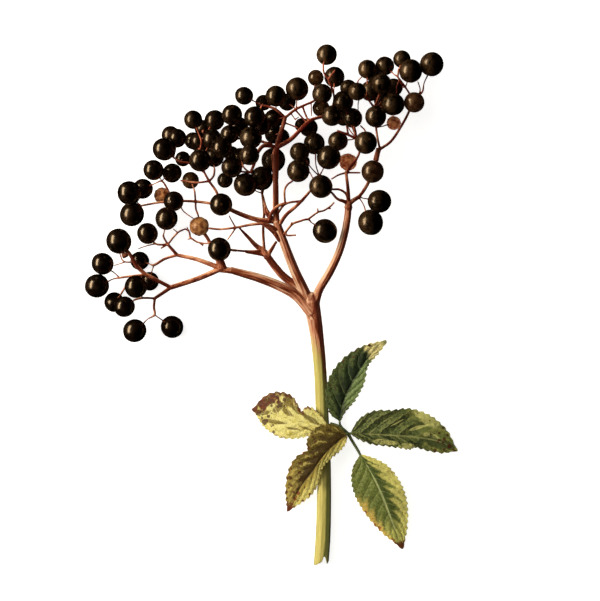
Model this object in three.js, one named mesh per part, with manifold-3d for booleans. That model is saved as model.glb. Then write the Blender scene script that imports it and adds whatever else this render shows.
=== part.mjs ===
// An elderberry cluster as picked: a cut stem that parts into four rays, the rays' sprays of stalks and
// berries, and one leaf of five leaflets beside the stem. It lies on a flat surface, z = 0.
// Millimetres, +Z up, +Y from the cut end to the berries. The origin is on the surface, under the middle.
import * as THREE from 'three';
import { mergeVertices } from 'three/addons/utils/BufferGeometryUtils.js';
import Module from 'manifold-3d';

const wasm = await Module();
wasm.setup();

// Driving sizes
const CLEARANCE = 0.35; // between neighbouring pieces
const DOME = { x: 4, y: 46, reachX: 52, reachY: 44, base: 9.5, rise: 8 }; // the stalks' height in the head
const LAYER = 5.6; // from the stalks up to the front berries, or down to the back ones
const BERRY_GAP = 0.4; // the least that berries and other stalks keep to each other
const SETTLE_ROUNDS = 160;
const FACET_REACH = 0.9342; // from a faceted berry's middle to its flat facets, in radii
const STEM_SIDES = 12;
const RAY_SIDES = 7;
const STALK_SIDES = 4;
const PEDICEL_SIDES = 3;
const THIN = 0.5; // a stalk with a thinner root has a pedicel's sides
const PEDICEL_RADII = [0.5, 0.46];
const PEDICEL_SINK = 0.55; // how deep a pedicel's tip is sunk in its berry, in radii
const THREAD = 0.02; // radius at which a stalk is first drawn, before it is given its own
const BLADE_THICKNESS = 0.7;
const BLADE_ROWS = 16; // along a leaflet, two for each tooth
const BLADE_COLUMNS = 4; // across it
const BLADE_END = 0.3; // half the width of a leaflet at its two ends
const TOOTH_DEPTH = 0.5; // from a notch to the point of a tooth, half of it on each side of the margin
const TOOTH_LEAD = 0.012; // how far a tooth leans towards the tip, in leaflet lengths

const COLOURS = {
  stem: '#b98a63',
  leafStalk: '#66703a',
  berries: '#1c110d',
  darkGreen: '#42573a',
  green: '#5f7040',
  olive: '#7b6a35',
  yellow: '#c3b05c',
};

// The cut stem from its cut end to the crown: x, y, z and radius.
const PEDUNCLE = [
  [16.3, -83.4, 2.5, 2.5],
  [16.9, -74, 2.75, 2.45],
  [17.2, -62, 3.35, 2.35],
  [17.2, -50, 4.05, 2.2],
  [16.6, -35, 5.2, 2.1],
  [15.9, -20, 6.6, 2.05],
  [14.9, -10, 7.8, 2.2],
  [14, -4, 8.8, 2.45],
  [13, 1.3, 9.6, 2.75],
  [12.75, 3.6, 9.9, 1.7],
];

// A stalk is its radii at root and tip, then its points. A point is x, y and its height above the dome
// of stalks, which is 0 where it is left out.
const RAYS = [
  [
    2.0, 1.12, [13.4, -2.5, 0.3], [8.6, 3, 0.6], [3, 6.2, 0.6], [-4, 8.9, 0.6], [-9, 10.3, 0.6],
    [-13, 11.4, 0.6],
  ],
  [1.45, 1.15, [12.4, 1.5, -1], [7.2, 6.8, -2.8], [3.7, 9.8, -3.6], [1, 13, -4.2], [-1, 15.8, -4.4]],
  [1.85, 1.28, [13.2, -1], [10.8, 4.6], [8.1, 10.3], [5.8, 16], [3.6, 22], [1.8, 27]],
  [1.1, 0.92, [1.9, 26.4], [1.7, 31], [1.7, 36], [1.65, 40.4]],
  [0.92, 1.38, [1.65, 39.6], [1.6, 44], [1.5, 48.4]],
  [
    1.5, 1.12, [13.8, -2, 0.2], [15.4, 4.6], [18.9, 10.6], [21.9, 17], [23.7, 23], [24.6, 28],
    [24.9, 31.2],
  ],
];

// A spray has stalks, and forks. A fork is the point where pedicels start, then the berries on them: x, y,
// layer and diameter. Layer 1 is in front of the stalks and -1 behind them.
const SPRAYS = {
  spray_left: {
    stalks: [
      [1.05, 1.0, [-12, 11.1, 0.6], [-16.5, 11.6, 0.6]],
      [0.95, 0.8, [-16.5, 11.6, 0.6], [-20, 10, 0.2], [-24, 8.4], [-32, 5.8]],
      [0.62, 0.7, [-32, 5.8], [-36.5, 8.1, 0.4], [-40, 9.9, 0.8]],
      [0.68, 0.64, [-40, 9.9, 0.8], [-42.9, 12.6, 1.4], [-44.5, 15.5, 2], [-46.2, 17.7, 2]],
      [0.45, 0.38, [-40, 9.9, 0.8], [-44, 9.5, 0.4], [-48.5, 8.9]],
      [0.4, 0.34, [-40, 9.9, 0.8], [-44.8, 8.4, -1.4], [-48, 3.9, -2.6]],
      [0.65, 0.55, [-32, 5.8], [-37.2, 2.3, -0.4]],
      [0.4, 0.36, [-37.2, 2.3, -0.4], [-41, 2.4, 0.4], [-43.8, 1.8]],
      [0.46, 0.42, [-37.2, 2.3, -0.4], [-37.5, -0.5, -1], [-37.3, -3, -1.6]],
      [0.9, 0.6, [-16.2, 12, 0.6], [-20, 13.5, 0.2], [-24, 14.9], [-30, 16.2, -0.6]],
      [0.5, 0.45, [-30, 16.2, -0.6], [-34, 15, -1.4], [-37.5, 13, -2]],
      [0.6, 0.5, [-30, 16.2, -0.6], [-33, 19.6]],
      [0.38, 0.34, [-33, 19.6], [-36.4, 19.6, 0.4], [-37.9, 20.6, 0.6]],
      [0.38, 0.34, [-33, 19.6], [-34.4, 22.2, -0.4]],
      [0.36, 0.3, [-33, 19.6], [-29.8, 23.4, -2], [-27.4, 24.6, -3]],
    ],
    forks: [
      [[-37.3, -3, -1.6], [-43.7, -8.1, -0.3, 7.2], [-31.8, -6.9, -1.2, 7]],
      [[-48.5, 8.9], [-55.8, 6.3, -0.2, 7.4], [-53.9, 13.4, 0.2, 6.8]],
      [[-46.2, 17.7, 2], [-48.6, 20.6, 0.7, 7.8]],
      [[-41, 2.4, 0.4], [-43.1, 6, 0.9, 7]],
      [[-48, 3.9, -2.6], [-50.5, 1.1, -1.3, 6.2]],
      [[-43.8, 1.8], [-46.9, -0.4, 0.2, 6.4]],
      [[-37.5, 13, -2], [-42.2, 14.4, -1, 5.8], [-39, 7.8, -1, 5.8]],
      [[-37.9, 20.6, 0.6], [-39.5, 23.1, 0.2, 6.5]],
      [[-34.4, 22.2, -0.4], [-33.4, 27.9, -0.3, 7]],
      [[-16, 12.1, 0.6], [-16.4, 18, 0.2, 7.2]],
    ],
  },
  spray_back: {
    stalks: [
      [1.0, 0.8, [-0.5, 15, -4.4], [-2, 17.6, -5]],
      [0.46, 0.36, [-2, 17.6, -5], [-7, 17.4, -3.4], [-12.1, 17.7, -0.6]],
      [1.0, 0.42, [-2, 17.6, -5], [-4.4, 19, -5], [-7, 21.7, -3.6], [-9.2, 24, -2.6]],
      [0.5, 0.42, [-2, 17.6, -5], [-2.4, 24, -6], [-2.1, 30, -6], [-2.7, 36, -5]],
      [0.4, 0.34, [-2.7, 36, -5], [-0.6, 42.5, -9]],
    ],
    forks: [
      [[-2.7, 36, -5], [-2.9, 40.7, -0.4, 7.2], [-8, 38.6, -0.2, 7.2]],
      [[-0.6, 42.5, -9], [0.9, 46.7, -1.2, 7.5]],
    ],
  },
  spray_centre_left: {
    stalks: [
      [0.95, 0.66, [1.6, 27], [-4, 27.4, 0], [-10, 29.4, 0.2], [-15.8, 32.2, -0.4]],
      [0.5, 0.42, [-15.8, 32.2, -0.4], [-24, 33.3, -0.6], [-31.5, 33.6, -1]],
      [0.4, 0.36, [-31.5, 33.6, -1], [-36, 33, -0.6], [-41.5, 32]],
      [0.38, 0.34, [-31.5, 33.6, -1], [-33.2, 37.6], [-34.8, 39.8, 0.8]],
      [0.36, 0.34, [-24, 33.3, -0.6], [-23.9, 31, -0.4], [-23.2, 29]],
      [0.36, 0.34, [-24, 33.3, -0.6], [-24.3, 36.6, 0.4]],
      [0.5, 0.42, [-15.8, 32.2, -0.4], [-17.2, 36.2, 0.4], [-19.6, 39.7, 0.8]],
      [0.38, 0.34, [-19.6, 39.7, 0.8], [-24, 39.3, 1.4], [-28.8, 40, 1]],
      [0.42, 0.38, [-19.6, 39.7, 0.8], [-21.2, 42.6, 0.2]],
      [0.38, 0.36, [-19.6, 39.7, 0.8], [-18.2, 41.4], [-17.9, 43.4, -0.6]],
      [0.4, 0.36, [-21.2, 42.6, 0.2], [-22.2, 46, -0.8], [-22.4, 49.5, 1.6], [-22, 52.5, 3.6]],
      [0.36, 0.34, [-21.2, 42.6, 0.2], [-26, 45.5, 0.8], [-28.8, 46, 2], [-31, 47.3, 2.4]],
    ],
    forks: [
      [[-41.5, 32], [-44.5, 29.3, 0, 7.5], [-45.2, 36, 0.7, 7.4]],
      [
        [-34.8, 39.8, 0.8], [-41.1, 37.5, -0.4, 6.3], [-37.4, 43.3, 0.6, 6.3],
        [-31.6, 42.5, -0.5, 6],
      ],
      [[-33.2, 37.6], [-35, 35.4, -1, 5]],
      [[-28.5, 33.5, -0.8], [-30.9, 33.3, 1, 6.2]],
      [[-24.3, 36.6, 0.4], [-25.7, 40.2, -0.9, 5.3]],
      [[-15.8, 32.2, -0.4], [-15.7, 32.2, 1, 7]],
      [[-21.2, 42.6, 0.2], [-22.4, 46.2, 1.2, 6.9]],
      [[-17.9, 43.4, -0.6], [-18.1, 47.6, -0.2, 6.2], [-20.5, 50.2, -1.6, 6.4]],
      [[-28.8, 46, 2], [-28.2, 47.1, -0.9, 4.8]],
      [[-31, 47.3, 2.4], [-34, 49.9, 0.7, 7], [-29.9, 53.6, 0, 5.8], [-32.2, 54.8, -0.8, 5.6]],
      [[-22.4, 49.5, 1.6], [-25, 53, -0.8, 5.4]],
      [[-22, 52.5, 3.6], [-24.7, 59.4, 0.4, 5.7], [-17.9, 59.3, 0, 6.3], [-21.8, 57.1, -2.2, 5.4]],
      [[-22.2, 46, -0.8], [-23, 52.4, 0, 6], [-18.8, 53.2, 0.1, 6.2]],
    ],
  },
  spray_low: {
    stalks: [
      [0.6, 0.4, [2.5, 24.2, 0.6], [-1.6, 26, 2], [-5, 26, 2], [-8, 25.5, 1.7], [-10.5, 25, 1.4]],
      [0.4, 0.36, [-10.5, 25, 1.4], [-16, 24.4, 0.8], [-19.5, 24.7, 0.4]],
    ],
    forks: [
      [[-19.5, 24.7, 0.4], [-22.8, 25.4, 0, 6]],
    ],
  },
  spray_centre: {
    stalks: [
      [1.2, 0.95, [1.5, 47.4], [1.9, 50.4, 0.2]],
      [
        0.6, 0.5, [1.9, 50.4, 0.2], [-1.4, 51.2, 1.6], [-3.7, 49.4, 2.4], [-5, 45.6, 2.8],
        [-6.3, 42.4, 2.2],
      ],
      [0.38, 0.34, [-6.3, 42.4, 2.2], [-9.6, 42.8, 1.8]],
      [0.36, 0.32, [-6.3, 42.4, 2.2], [-7.6, 43.2, 0], [-8.8, 44.6, -2.5]],
      [0.85, 0.62, [1.9, 50.4, 0.2], [3.2, 55, 0.8], [4.7, 60, 0.8]],
      [0.5, 0.42, [4.7, 60, 0.8], [1.6, 62.7, 1.4], [-2.5, 63.8, 1.4]],
      [0.5, 0.4, [4.7, 60, 0.8], [8.2, 62.7, 1.6], [14, 65.4, 1.2]],
      [0.8, 0.52, [1.9, 50.4, 0.2], [6.5, 53, 1.8], [10, 56.5, 2.6], [13, 59.2, 2], [17, 60.4, 0.6]],
      [0.36, 0.34, [10.2, 63.8, 1.5], [11, 61.5, 1.8], [12.2, 58.8, 2.2]],
      [0.5, 0.42, [1.9, 50.4, 0.2], [-3, 52.6, -3.4], [-8.4, 53.6, -3.4], [-12.6, 53, -2]],
      [0.42, 0.36, [17, 60.4, 0.6], [19.8, 63.8, -1], [20.3, 67.2, 1], [18.5, 72.2, 3]],
      [0.34, 0.32, [18.5, 72.2, 3], [17.1, 74.4, 3], [16.9, 77, 1.6]],
      [0.34, 0.3, [18.5, 72.2, 3], [20.7, 75.2, 3.6]],
    ],
    forks: [
      [[-9.6, 42.8, 1.8], [-12.3, 44, 0.9, 6.4]],
      [[-5, 45.6, 2.8], [-6.6, 47.6, 1.7, 6.2]],
      [
        [-8.8, 44.6, -2.5], [-9.7, 47.8, -1.2, 5.4], [-12.6, 48.8, -2.4, 5],
        [-14.6, 40.2, -0.8, 4.8],
      ],
      [[-8.4, 53.6, -3.4], [-6.2, 53.3, 1, 7], [-10.3, 57.2, -0.4, 6.2], [-3, 57.5, 0.1, 6]],
      [[-12.6, 53, -2], [-15.5, 50.2, 0.8, 6.6], [-13, 54.6, 0.6, 5.8], [-12.2, 60.7, 0.8, 6.4]],
      [[3.2, 55, 0.8], [1.2, 55, -0.9, 6], [3.3, 54.3, -1.4, 5.4]],
      [[4.7, 60, 0.8], [1, 59.8, -0.4, 6]],
      [[-2.5, 63.8, 1.4], [-5, 60, 1, 6.6], [-8.4, 67, 0.4, 5.6], [-2.3, 65, -0.7, 5]],
      [[1.6, 62.7, 1.4], [1.7, 66.8, 0.7, 6.4]],
      [[8.2, 62.7, 1.6], [8.5, 69.2, 0.3, 7.1], [5.3, 65.2, -0.8, 5.4]],
      [[10, 56.5, 2.6], [12.2, 57.2, -1.4, 5.8], [10, 57.8, -0.9, 4.4]],
      [[14, 65.4, 1.2], [16.5, 67.5, 0.9, 6.2], [14.5, 73, -0.4, 5]],
      [[17, 60.4, 0.6], [19.6, 60.4, 1.3, 6.4], [16.2, 63.2, -0.3, 5.4]],
      [[16.9, 77, 1.6], [18, 80.4, 0, 6.4]],
      [[20.3, 67.2, 1], [20.5, 73.4, -0.7, 6.4]],
    ],
  },
  spray_side: {
    stalks: [
      [0.44, 0.38, [3.9, 22.2], [4.8, 23.4, 1.2], [7, 26, 2.2], [9, 26.8, 2.4], [12, 27.5, 2.6]],
      [
        0.36, 0.3, [12, 27.5, 2.6], [15.2, 29.8, 2.2], [17, 30.3, 1.6], [19.3, 31.8, 1.4],
        [20.4, 33, 1.4],
      ],
    ],
    forks: [
      [[12, 27.5, 2.6], [17.4, 23.8, 0.4, 7.5]],
    ],
  },
  spray_centre_front: {
    stalks: [
      [0.7, 0.5, [2.6, 25.4], [5, 28.9, 1.8], [8, 31.5, 2.2], [10, 33.4, 2.2]],
      [0.55, 0.45, [10, 33.4, 2.2], [12.4, 36.2, 1.4]],
      [0.42, 0.38, [1.8, 28.6], [4.8, 32.4, 1.8], [10, 33.4, 2.2]],
      [0.38, 0.34, [4.7, 32.5, 1.8], [4.5, 36.5, 2.2], [5.3, 38.4, 2.2], [7.2, 39.9, 2]],
      [0.4, 0.36, [12.4, 36.2, 1.4], [14.4, 38.8, -1], [15.6, 41.3, 0]],
    ],
    forks: [
      [[7.2, 39.9, 2], [8.9, 42.9, 0.9, 7]],
      [[15.6, 41.3, 0], [18.6, 47.2, 0.9, 7.4], [9.3, 48.9, 0.2, 6], [14, 51.8, -0.1, 6.6]],
      [[14.4, 38.8, -1], [10.4, 46.2, -1.6, 4.4]],
    ],
  },
  spray_right: {
    stalks: [
      [1.2, 1.1, [24.9, 30.4], [25, 32.8]],
      [0.68, 0.5, [25, 32.8], [24.8, 37, 1.6], [24.2, 42.4, 2.6]],
      [0.46, 0.36, [24.2, 42.4, 2.6], [27.3, 46.5, 3], [28.6, 50, -0.6], [27.5, 53.4, 0]],
      [0.55, 0.4, [25, 32.8], [21.5, 34, 1.2], [19.6, 36, 2]],
      [0.62, 0.5, [25, 32.8], [28.2, 34.7, -0.4], [31.4, 39.5, -1], [33.6, 45.5, -0.6], [35, 50]],
      [0.5, 0.4, [35, 50], [38.5, 52.5, 0.6], [41.6, 57, 1], [44.4, 62.2, 0.6], [45.6, 66.4, -1]],
      [0.4, 0.36, [35, 50], [34.2, 54, 0.4], [33.8, 57, -0.6], [33.2, 63.4, 0]],
      [0.36, 0.34, [45.6, 66.4, -1], [48.6, 68.4, 0.6]],
      [0.36, 0.34, [45.6, 66.4, -1], [43.2, 70, 1.4], [40.8, 73.2, 2]],
      [0.4, 0.34, [33.2, 63.4, 0], [30.6, 66.7, 1.6]],
    ],
    forks: [
      [[28.2, 34.7, -0.4], [34.9, 33.4, 0, 7.2], [32, 26.6, 0.2, 7.8]],
      [[31.4, 39.5, -1], [32.6, 42.7, 1, 7]],
      [[19.6, 36, 2], [16.1, 37.9, 1, 7.2]],
      [[24.2, 42.4, 2.6], [24.9, 46.1, -1.2, 5.6]],
      [[28.6, 50, -0.6], [30.4, 51.9, 1, 7]],
      [
        [27.5, 53.4, 0], [21.6, 52.6, 0, 6], [26.3, 60, 0, 6], [23.2, 65.1, 0, 6.4],
        [23.4, 60.4, -2.4, 4.8],
      ],
      [[33.8, 57, -0.6], [33.6, 60.3, 0.7, 6.6], [39.5, 58.6, -0.6, 4.4]],
      [[33.2, 63.4, 0], [35.5, 70.8, 0.8, 6.2], [39.2, 64.3, 0.8, 7], [36.5, 66.4, -2.2, 6.4]],
      [
        [30.6, 66.7, 1.6], [27.7, 68.2, 0.9, 5.6], [32, 68.8, -0.2, 6.4], [31, 75.8, 0, 5.8],
        [25, 69.8, -0.5, 5.2], [33.7, 73.9, -2.2, 5],
      ],
      [[45.6, 66.4, -1], [46, 65, 0.8, 6.4]],
      [[43.2, 70, 1.4], [39.5, 70, -0.2, 5.6], [44.9, 75.1, 0.7, 7.2]],
      [[40.8, 73.2, 2], [36.7, 77, -0.2, 5.8], [42.2, 79.2, -0.3, 5.5]],
      [[48.6, 68.4, 0.6], [51.7, 77.4, 0.3, 7.4]],
    ],
  },
};

// The leaf's stalk and the short stalk of its upper leaflet: radii at root and tip, then x, y and z.
const LEAF_STALKS = [
  [
    0.68, 0.48, [19.1, -38.1, 6.9], [22, -39, 7.3], [24.8, -41.2, 7.1], [26, -43.2, 6.7],
    [28.3, -47, 6.1],
  ],
  [0.42, 0.36, [23.8, -40.3, 7.2], [22.5, -38.6, 7.6], [22.2, -37.7, 7.9]],
];

// A leaflet's midrib and its two margins, left and right of it as it grows, from base to tip: x, y and z.
const LEAFLETS = {
  leaflet_upper: {
    colour: 'darkGreen',
    midrib: [
      [22.2, -37, 8.1], [23.2, -31.2, 8.5], [25.9, -25.2, 8.4], [29.2, -19.8, 7.4], [32.2, -16, 5.9],
      [36.7, -11.8, 3.6],
    ],
    left: [
      [22, -36.9, 8.1], [19.4, -35.1, 8.9], [17.9, -31, 9.8], [18, -25.8, 9.9], [19.9, -21.1, 9.4],
      [23.6, -16.8, 8.4], [28.2, -13.7, 6.8], [32.6, -12.1, 5], [36.6, -11.6, 3.6],
    ],
    right: [
      [22.4, -36.9, 8.1], [24.2, -33.8, 8.9], [26.6, -31.2, 9.3], [28.6, -28, 9], [30.2, -24.6, 8.5],
      [30.9, -20.6, 7.4], [32.2, -18.1, 6.4], [34.8, -15.4, 5], [36.9, -12.2, 3.6],
    ],
  },
  leaflet_right: {
    colour: 'green',
    midrib: [
      [26, -41, 7.1], [33, -41.5, 7.1], [40.5, -42, 6.3], [48, -42.7, 4.8], [55, -44.2, 2.4],
      [59.7, -46.6, 0.37],
    ],
    left: [
      [25.9, -40.7, 7.1], [28.6, -36.4, 6.9], [33.4, -33.9, 6.3], [39, -33.7, 5.6], [44.2, -33.2, 4.7],
      [49.4, -34.5, 3.7], [53.6, -37, 2.6], [57.4, -41.2, 1.4], [59.8, -46.4, 0.37],
    ],
    right: [
      [25.9, -41.2, 7.1], [28.8, -43.3, 6.7], [33, -44.7, 6.2], [37.5, -45.2, 5.7], [41.5, -45.9, 5.1],
      [44.7, -46.3, 4.6], [46.4, -45.6, 4.3], [50.6, -46.8, 3.3], [55.5, -47.6, 1.9],
      [59.8, -46.8, 0.37],
    ],
  },
  leaflet_end: {
    colour: 'green',
    midrib: [
      [28.9, -48.2, 5.9], [32.4, -54, 6.1], [35.6, -60.6, 5.5], [37.9, -66.6, 4.4], [40, -72.2, 2.6],
      [42.3, -78, 0.37],
    ],
    left: [
      [29.2, -48.1, 5.9], [33.4, -49.2, 5.9], [37.6, -51.6, 5.6], [40.6, -55.1, 5.1], [42.7, -59, 4.5],
      [43.9, -63.4, 3.8], [44.2, -68.4, 2.7], [43.8, -73.4, 1.5], [42.6, -77.8, 0.37],
    ],
    right: [
      [28.7, -48.4, 5.9], [26.6, -51.8, 5.6], [26, -56.4, 5.2], [27.2, -61.3, 4.7], [29.5, -65.6, 4],
      [33.1, -70.3, 2.8], [37.4, -74.6, 1.6], [42, -78, 0.37],
    ],
  },
  leaflet_front: {
    colour: 'olive',
    midrib: [
      [24.3, -41.6, 8.6], [20.4, -44.8, 9.2], [17, -48.2, 9], [13.6, -53, 7.8], [10, -57.8, 5.6],
      [5.7, -65.8, 2],
    ],
    left: [
      [24.6, -41.9, 8.6], [23.8, -44.9, 8.6], [21.3, -47.5, 8.3], [18.3, -50.1, 7.7],
      [16.4, -52.9, 7.1], [15.4, -56.9, 6.3], [13.1, -61, 4.8], [9.6, -63.8, 3.2], [6, -65.8, 2],
    ],
    right: [
      [24.1, -41.3, 8.6], [21.4, -38.7, 9.4], [17.6, -38, 9.9], [14, -39.7, 10], [11.6, -43.6, 9.7],
      [11.7, -46.4, 9.2], [8, -48.9, 8], [5.6, -53.4, 6.4], [4.8, -58.8, 4.6], [5, -63.2, 2.8],
      [5.6, -65.8, 2],
    ],
  },
  leaflet_left: {
    colour: 'yellow',
    midrib: [[18, -38.6, 8.05], [12.6, -37.8, 7.9], [7, -37, 6.5], [0.6, -35.4, 3.8], [-5.4, -33.7, 1]],
    left: [
      [18, -38.9, 8.05], [15.4, -41.2, 7.8], [11.4, -42.2, 7.2], [7.6, -42.8, 6.1], [3.4, -42.6, 4.6],
      [-0.2, -40.8, 3], [-2.6, -38.6, 2], [-4.2, -36, 1.3], [-5.4, -34, 1],
    ],
    right: [
      [18, -38.3, 8.1], [16.6, -35.6, 8.1], [13.8, -33.1, 7.6], [11.4, -32.6, 7.3], [10.1, -34.2, 7.1],
      [8.8, -32, 6.7], [6.9, -29.2, 6], [3.6, -27.9, 5.2], [-0.2, -28.3, 3.6], [-3.4, -30.6, 2],
      [-5.4, -33.5, 1],
    ],
  },
};

function domeHeight(x, y) {
  const across = (x - DOME.x) / DOME.reachX;
  const along = (y - DOME.y) / DOME.reachY;
  return DOME.base + DOME.rise * Math.max(0, 1 - across * across - along * along);
}

function onDome([x, y, height = 0]) {
  return new THREE.Vector3(x, y, domeHeight(x, y) + height);
}

// Where each stalk's straight stretches run, for the berries to keep clear of.
function stretchesOf(stalks, owner) {
  const stretches = [];
  for (const [rootRadius, , ...points] of stalks) {
    for (let i = 1; i < points.length; i += 1) {
      stretches.push({ a: onDome(points[i - 1]), b: onDome(points[i]), radius: rootRadius, owner });
    }
  }
  return stretches;
}

// The stretches that a berry could touch: their height beside it, and how far above or below that it must be.
function supportsOf(berry, stretches) {
  const supports = [];
  for (const { a, b, radius, owner } of stretches) {
    const dx = b.x - a.x;
    const dy = b.y - a.y;
    const share = ((berry.x - a.x) * dx + (berry.y - a.y) * dy) / (dx * dx + dy * dy);
    const t = Math.min(1, Math.max(0, share));
    const near = new THREE.Vector3().lerpVectors(a, b, t);
    const room = berry.radius + radius + BERRY_GAP;
    const short = room * room - (berry.x - near.x) ** 2 - (berry.y - near.y) ** 2;
    const isRoot = Math.abs(near.x - berry.fork.x) + Math.abs(near.y - berry.fork.y) < 0.5;
    if (short > 0 && !(isRoot && owner === berry.owner)) {
      supports.push({ height: near.z, apart: Math.sqrt(short) });
    }
  }
  return supports;
}

// The berries that overlap in plan, two by two, and how far apart in height they must be.
function pairsOf(berries) {
  const pairs = [];
  berries.forEach((a, i) => {
    for (const b of berries.slice(i + 1)) {
      const room = a.radius + b.radius + BERRY_GAP;
      const short = room * room - (a.x - b.x) ** 2 - (a.y - b.y) ** 2;
      if (short > 0) pairs.push({ a, b, apart: Math.sqrt(short) });
    }
  });
  return pairs;
}

// Half of the move, up or down, that takes a height difference of rise to at least apart.
function halfPush(rise, apart) {
  const lack = Math.max(0, apart - Math.abs(rise));
  return (rise < 0 ? -lack : lack) / 2;
}

// Every berry starts at its layer's height. Berries that would touch a neighbour or a stalk then move apart,
// up and down only, and none goes below the surface that the cluster lies on.
function settledBerries() {
  const berries = [];
  const stretches = stretchesOf(RAYS, 'stem');
  for (const [owner, spray] of Object.entries(SPRAYS)) {
    stretches.push(...stretchesOf(spray.stalks, owner));
    for (const [fork, ...carried] of spray.forks) {
      for (const [x, y, layer, diameter] of carried) {
        const z = domeHeight(x, y) + layer * LAYER;
        berries.push({ owner, fork: onDome(fork), x, y, z, radius: diameter / 2 });
      }
    }
  }
  const supports = berries.map((berry) => supportsOf(berry, stretches));
  const pairs = pairsOf(berries);
  for (let round = 0; round < SETTLE_ROUNDS; round += 1) {
    berries.forEach((berry, i) => {
      for (const { height, apart } of supports[i]) {
        berry.z += halfPush(berry.z - height, apart);
      }
    });
    for (const { a, b, apart } of pairs) {
      const push = halfPush(a.z - b.z, apart);
      a.z += push;
      b.z -= push;
    }
    for (const berry of berries) {
      berry.z = Math.max(berry.z, berry.radius * FACET_REACH);
    }
  }
  return berries;
}

function bare(geometry) {
  geometry.deleteAttribute('normal');
  geometry.deleteAttribute('uv');
  return mergeVertices(geometry);
}

function toSolid(geometry) {
  const vertProperties = new Float32Array(geometry.attributes.position.array);
  const triVerts = new Uint32Array(geometry.index.array);
  return new wasm.Manifold(new wasm.Mesh({ numProp: 3, vertProperties, triVerts }));
}

function toGeometry(solid) {
  const mesh = solid.getMesh();
  const geometry = new THREE.BufferGeometry();
  geometry.setAttribute('position', new THREE.BufferAttribute(mesh.vertProperties, 3));
  geometry.setIndex(new THREE.BufferAttribute(mesh.triVerts, 1));
  return geometry;
}

// A stalk that is straight from point to point, with its radius spread evenly over the points.
function stalkSolid(points, radii, sides) {
  const path = new THREE.CatmullRomCurve3(points, false, 'centripetal');
  path.getUtoTmapping = (share) => share; // so that each step ends on one of the points
  const steps = points.length - 1;
  const section = new THREE.Shape();
  for (let side = 0; side < sides; side += 1) {
    const angle = (2 * Math.PI * (side + 0.5)) / sides;
    section[side ? 'lineTo' : 'moveTo'](THREAD * Math.cos(angle), THREAD * Math.sin(angle));
  }
  const geometry = new THREE.ExtrudeGeometry(section, { steps, bevelEnabled: false, extrudePath: path });
  const centres = path.getSpacedPoints(steps);
  const position = geometry.attributes.position;
  const point = new THREE.Vector3();
  for (let i = 0; i < position.count; i += 1) {
    point.fromBufferAttribute(position, i);
    let nearest = 0;
    centres.forEach((centre, k) => {
      if (point.distanceTo(centre) < point.distanceTo(centres[nearest])) nearest = k;
    });
    const at = (nearest / steps) * (radii.length - 1);
    const low = Math.min(Math.floor(at), radii.length - 2);
    const radius = radii[low] + (radii[low + 1] - radii[low]) * (at - low);
    point.sub(centres[nearest]).multiplyScalar(radius / THREAD).add(centres[nearest]);
    position.setXYZ(i, point.x, point.y, Math.max(point.z, 0));
  }
  return toSolid(bare(geometry));
}

// A faceted ball that has one of its flat facets straight down.
function berrySolid({ x, y, z, radius }) {
  const corners = new THREE.IcosahedronGeometry(1, 0).attributes.position;
  const facet = new THREE.Vector3();
  for (let i = 0; i < 3; i += 1) {
    facet.add(new THREE.Vector3().fromBufferAttribute(corners, i));
  }
  const turn = new THREE.Quaternion().setFromUnitVectors(facet.normalize(), new THREE.Vector3(0, 0, -1));
  const geometry = new THREE.IcosahedronGeometry(radius, 1);
  geometry.applyQuaternion(turn);
  geometry.translate(x, y, z);
  return toSolid(bare(geometry));
}

// Where the pedicel from a point ends, inside its berry.
function pedicelTip(berry, from) {
  const middle = new THREE.Vector3(berry.x, berry.y, berry.z);
  const inward = middle.clone().sub(from).setLength(berry.radius * (1 - PEDICEL_SINK));
  return middle.sub(inward);
}

function pedicelSolid(berry) {
  return stalkSolid([berry.fork, pedicelTip(berry, berry.fork)], PEDICEL_RADII, PEDICEL_SIDES);
}

function joined(solids) {
  return solids.reduce((whole, solid) => whole.add(solid));
}

// The stem with its four rays. With some extra radius it is the room that the sprays keep clear of.
function stemSolid(extra) {
  const stem = stalkSolid(
    PEDUNCLE.map(([x, y, z]) => new THREE.Vector3(x, y, z)),
    PEDUNCLE.map((station) => station[3] + extra),
    STEM_SIDES,
  );
  const rays = RAYS.map(([rootRadius, tipRadius, ...route]) => {
    const points = route.map(onDome);
    const last = points[points.length - 1];
    const end = last.clone().sub(points[points.length - 2]).setLength(extra);
    points[points.length - 1] = last.clone().add(end);
    return stalkSolid(points, [rootRadius + extra, tipRadius + extra], RAY_SIDES);
  });
  return joined([stem, ...rays]);
}

// A spray's stalks and berries as one body. A stalk that ends at a fork runs on to the first of its berries,
// and the others have pedicels of their own.
function spraySolid(name, berries, room) {
  const own = berries.filter((berry) => berry.owner === name);
  const onPedicels = new Set(own);
  const stalks = SPRAYS[name].stalks.map(([rootRadius, tipRadius, ...route]) => {
    const points = route.map(onDome);
    const end = points[points.length - 1];
    const first = [...onPedicels].find((berry) => berry.fork.distanceTo(end) < THREAD);
    if (first) {
      points.push(pedicelTip(first, end));
      onPedicels.delete(first);
    }
    return stalkSolid(points, [rootRadius, tipRadius], rootRadius < THIN ? PEDICEL_SIDES : STALK_SIDES);
  });
  return joined([...stalks, ...[...onPedicels].map(pedicelSolid), ...own.map(berrySolid)]).subtract(room);
}

function curveThrough(points) {
  const vectors = points.map(([x, y, z]) => new THREE.Vector3(x, y, z));
  return new THREE.CatmullRomCurve3(vectors, false, 'centripetal');
}

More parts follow.
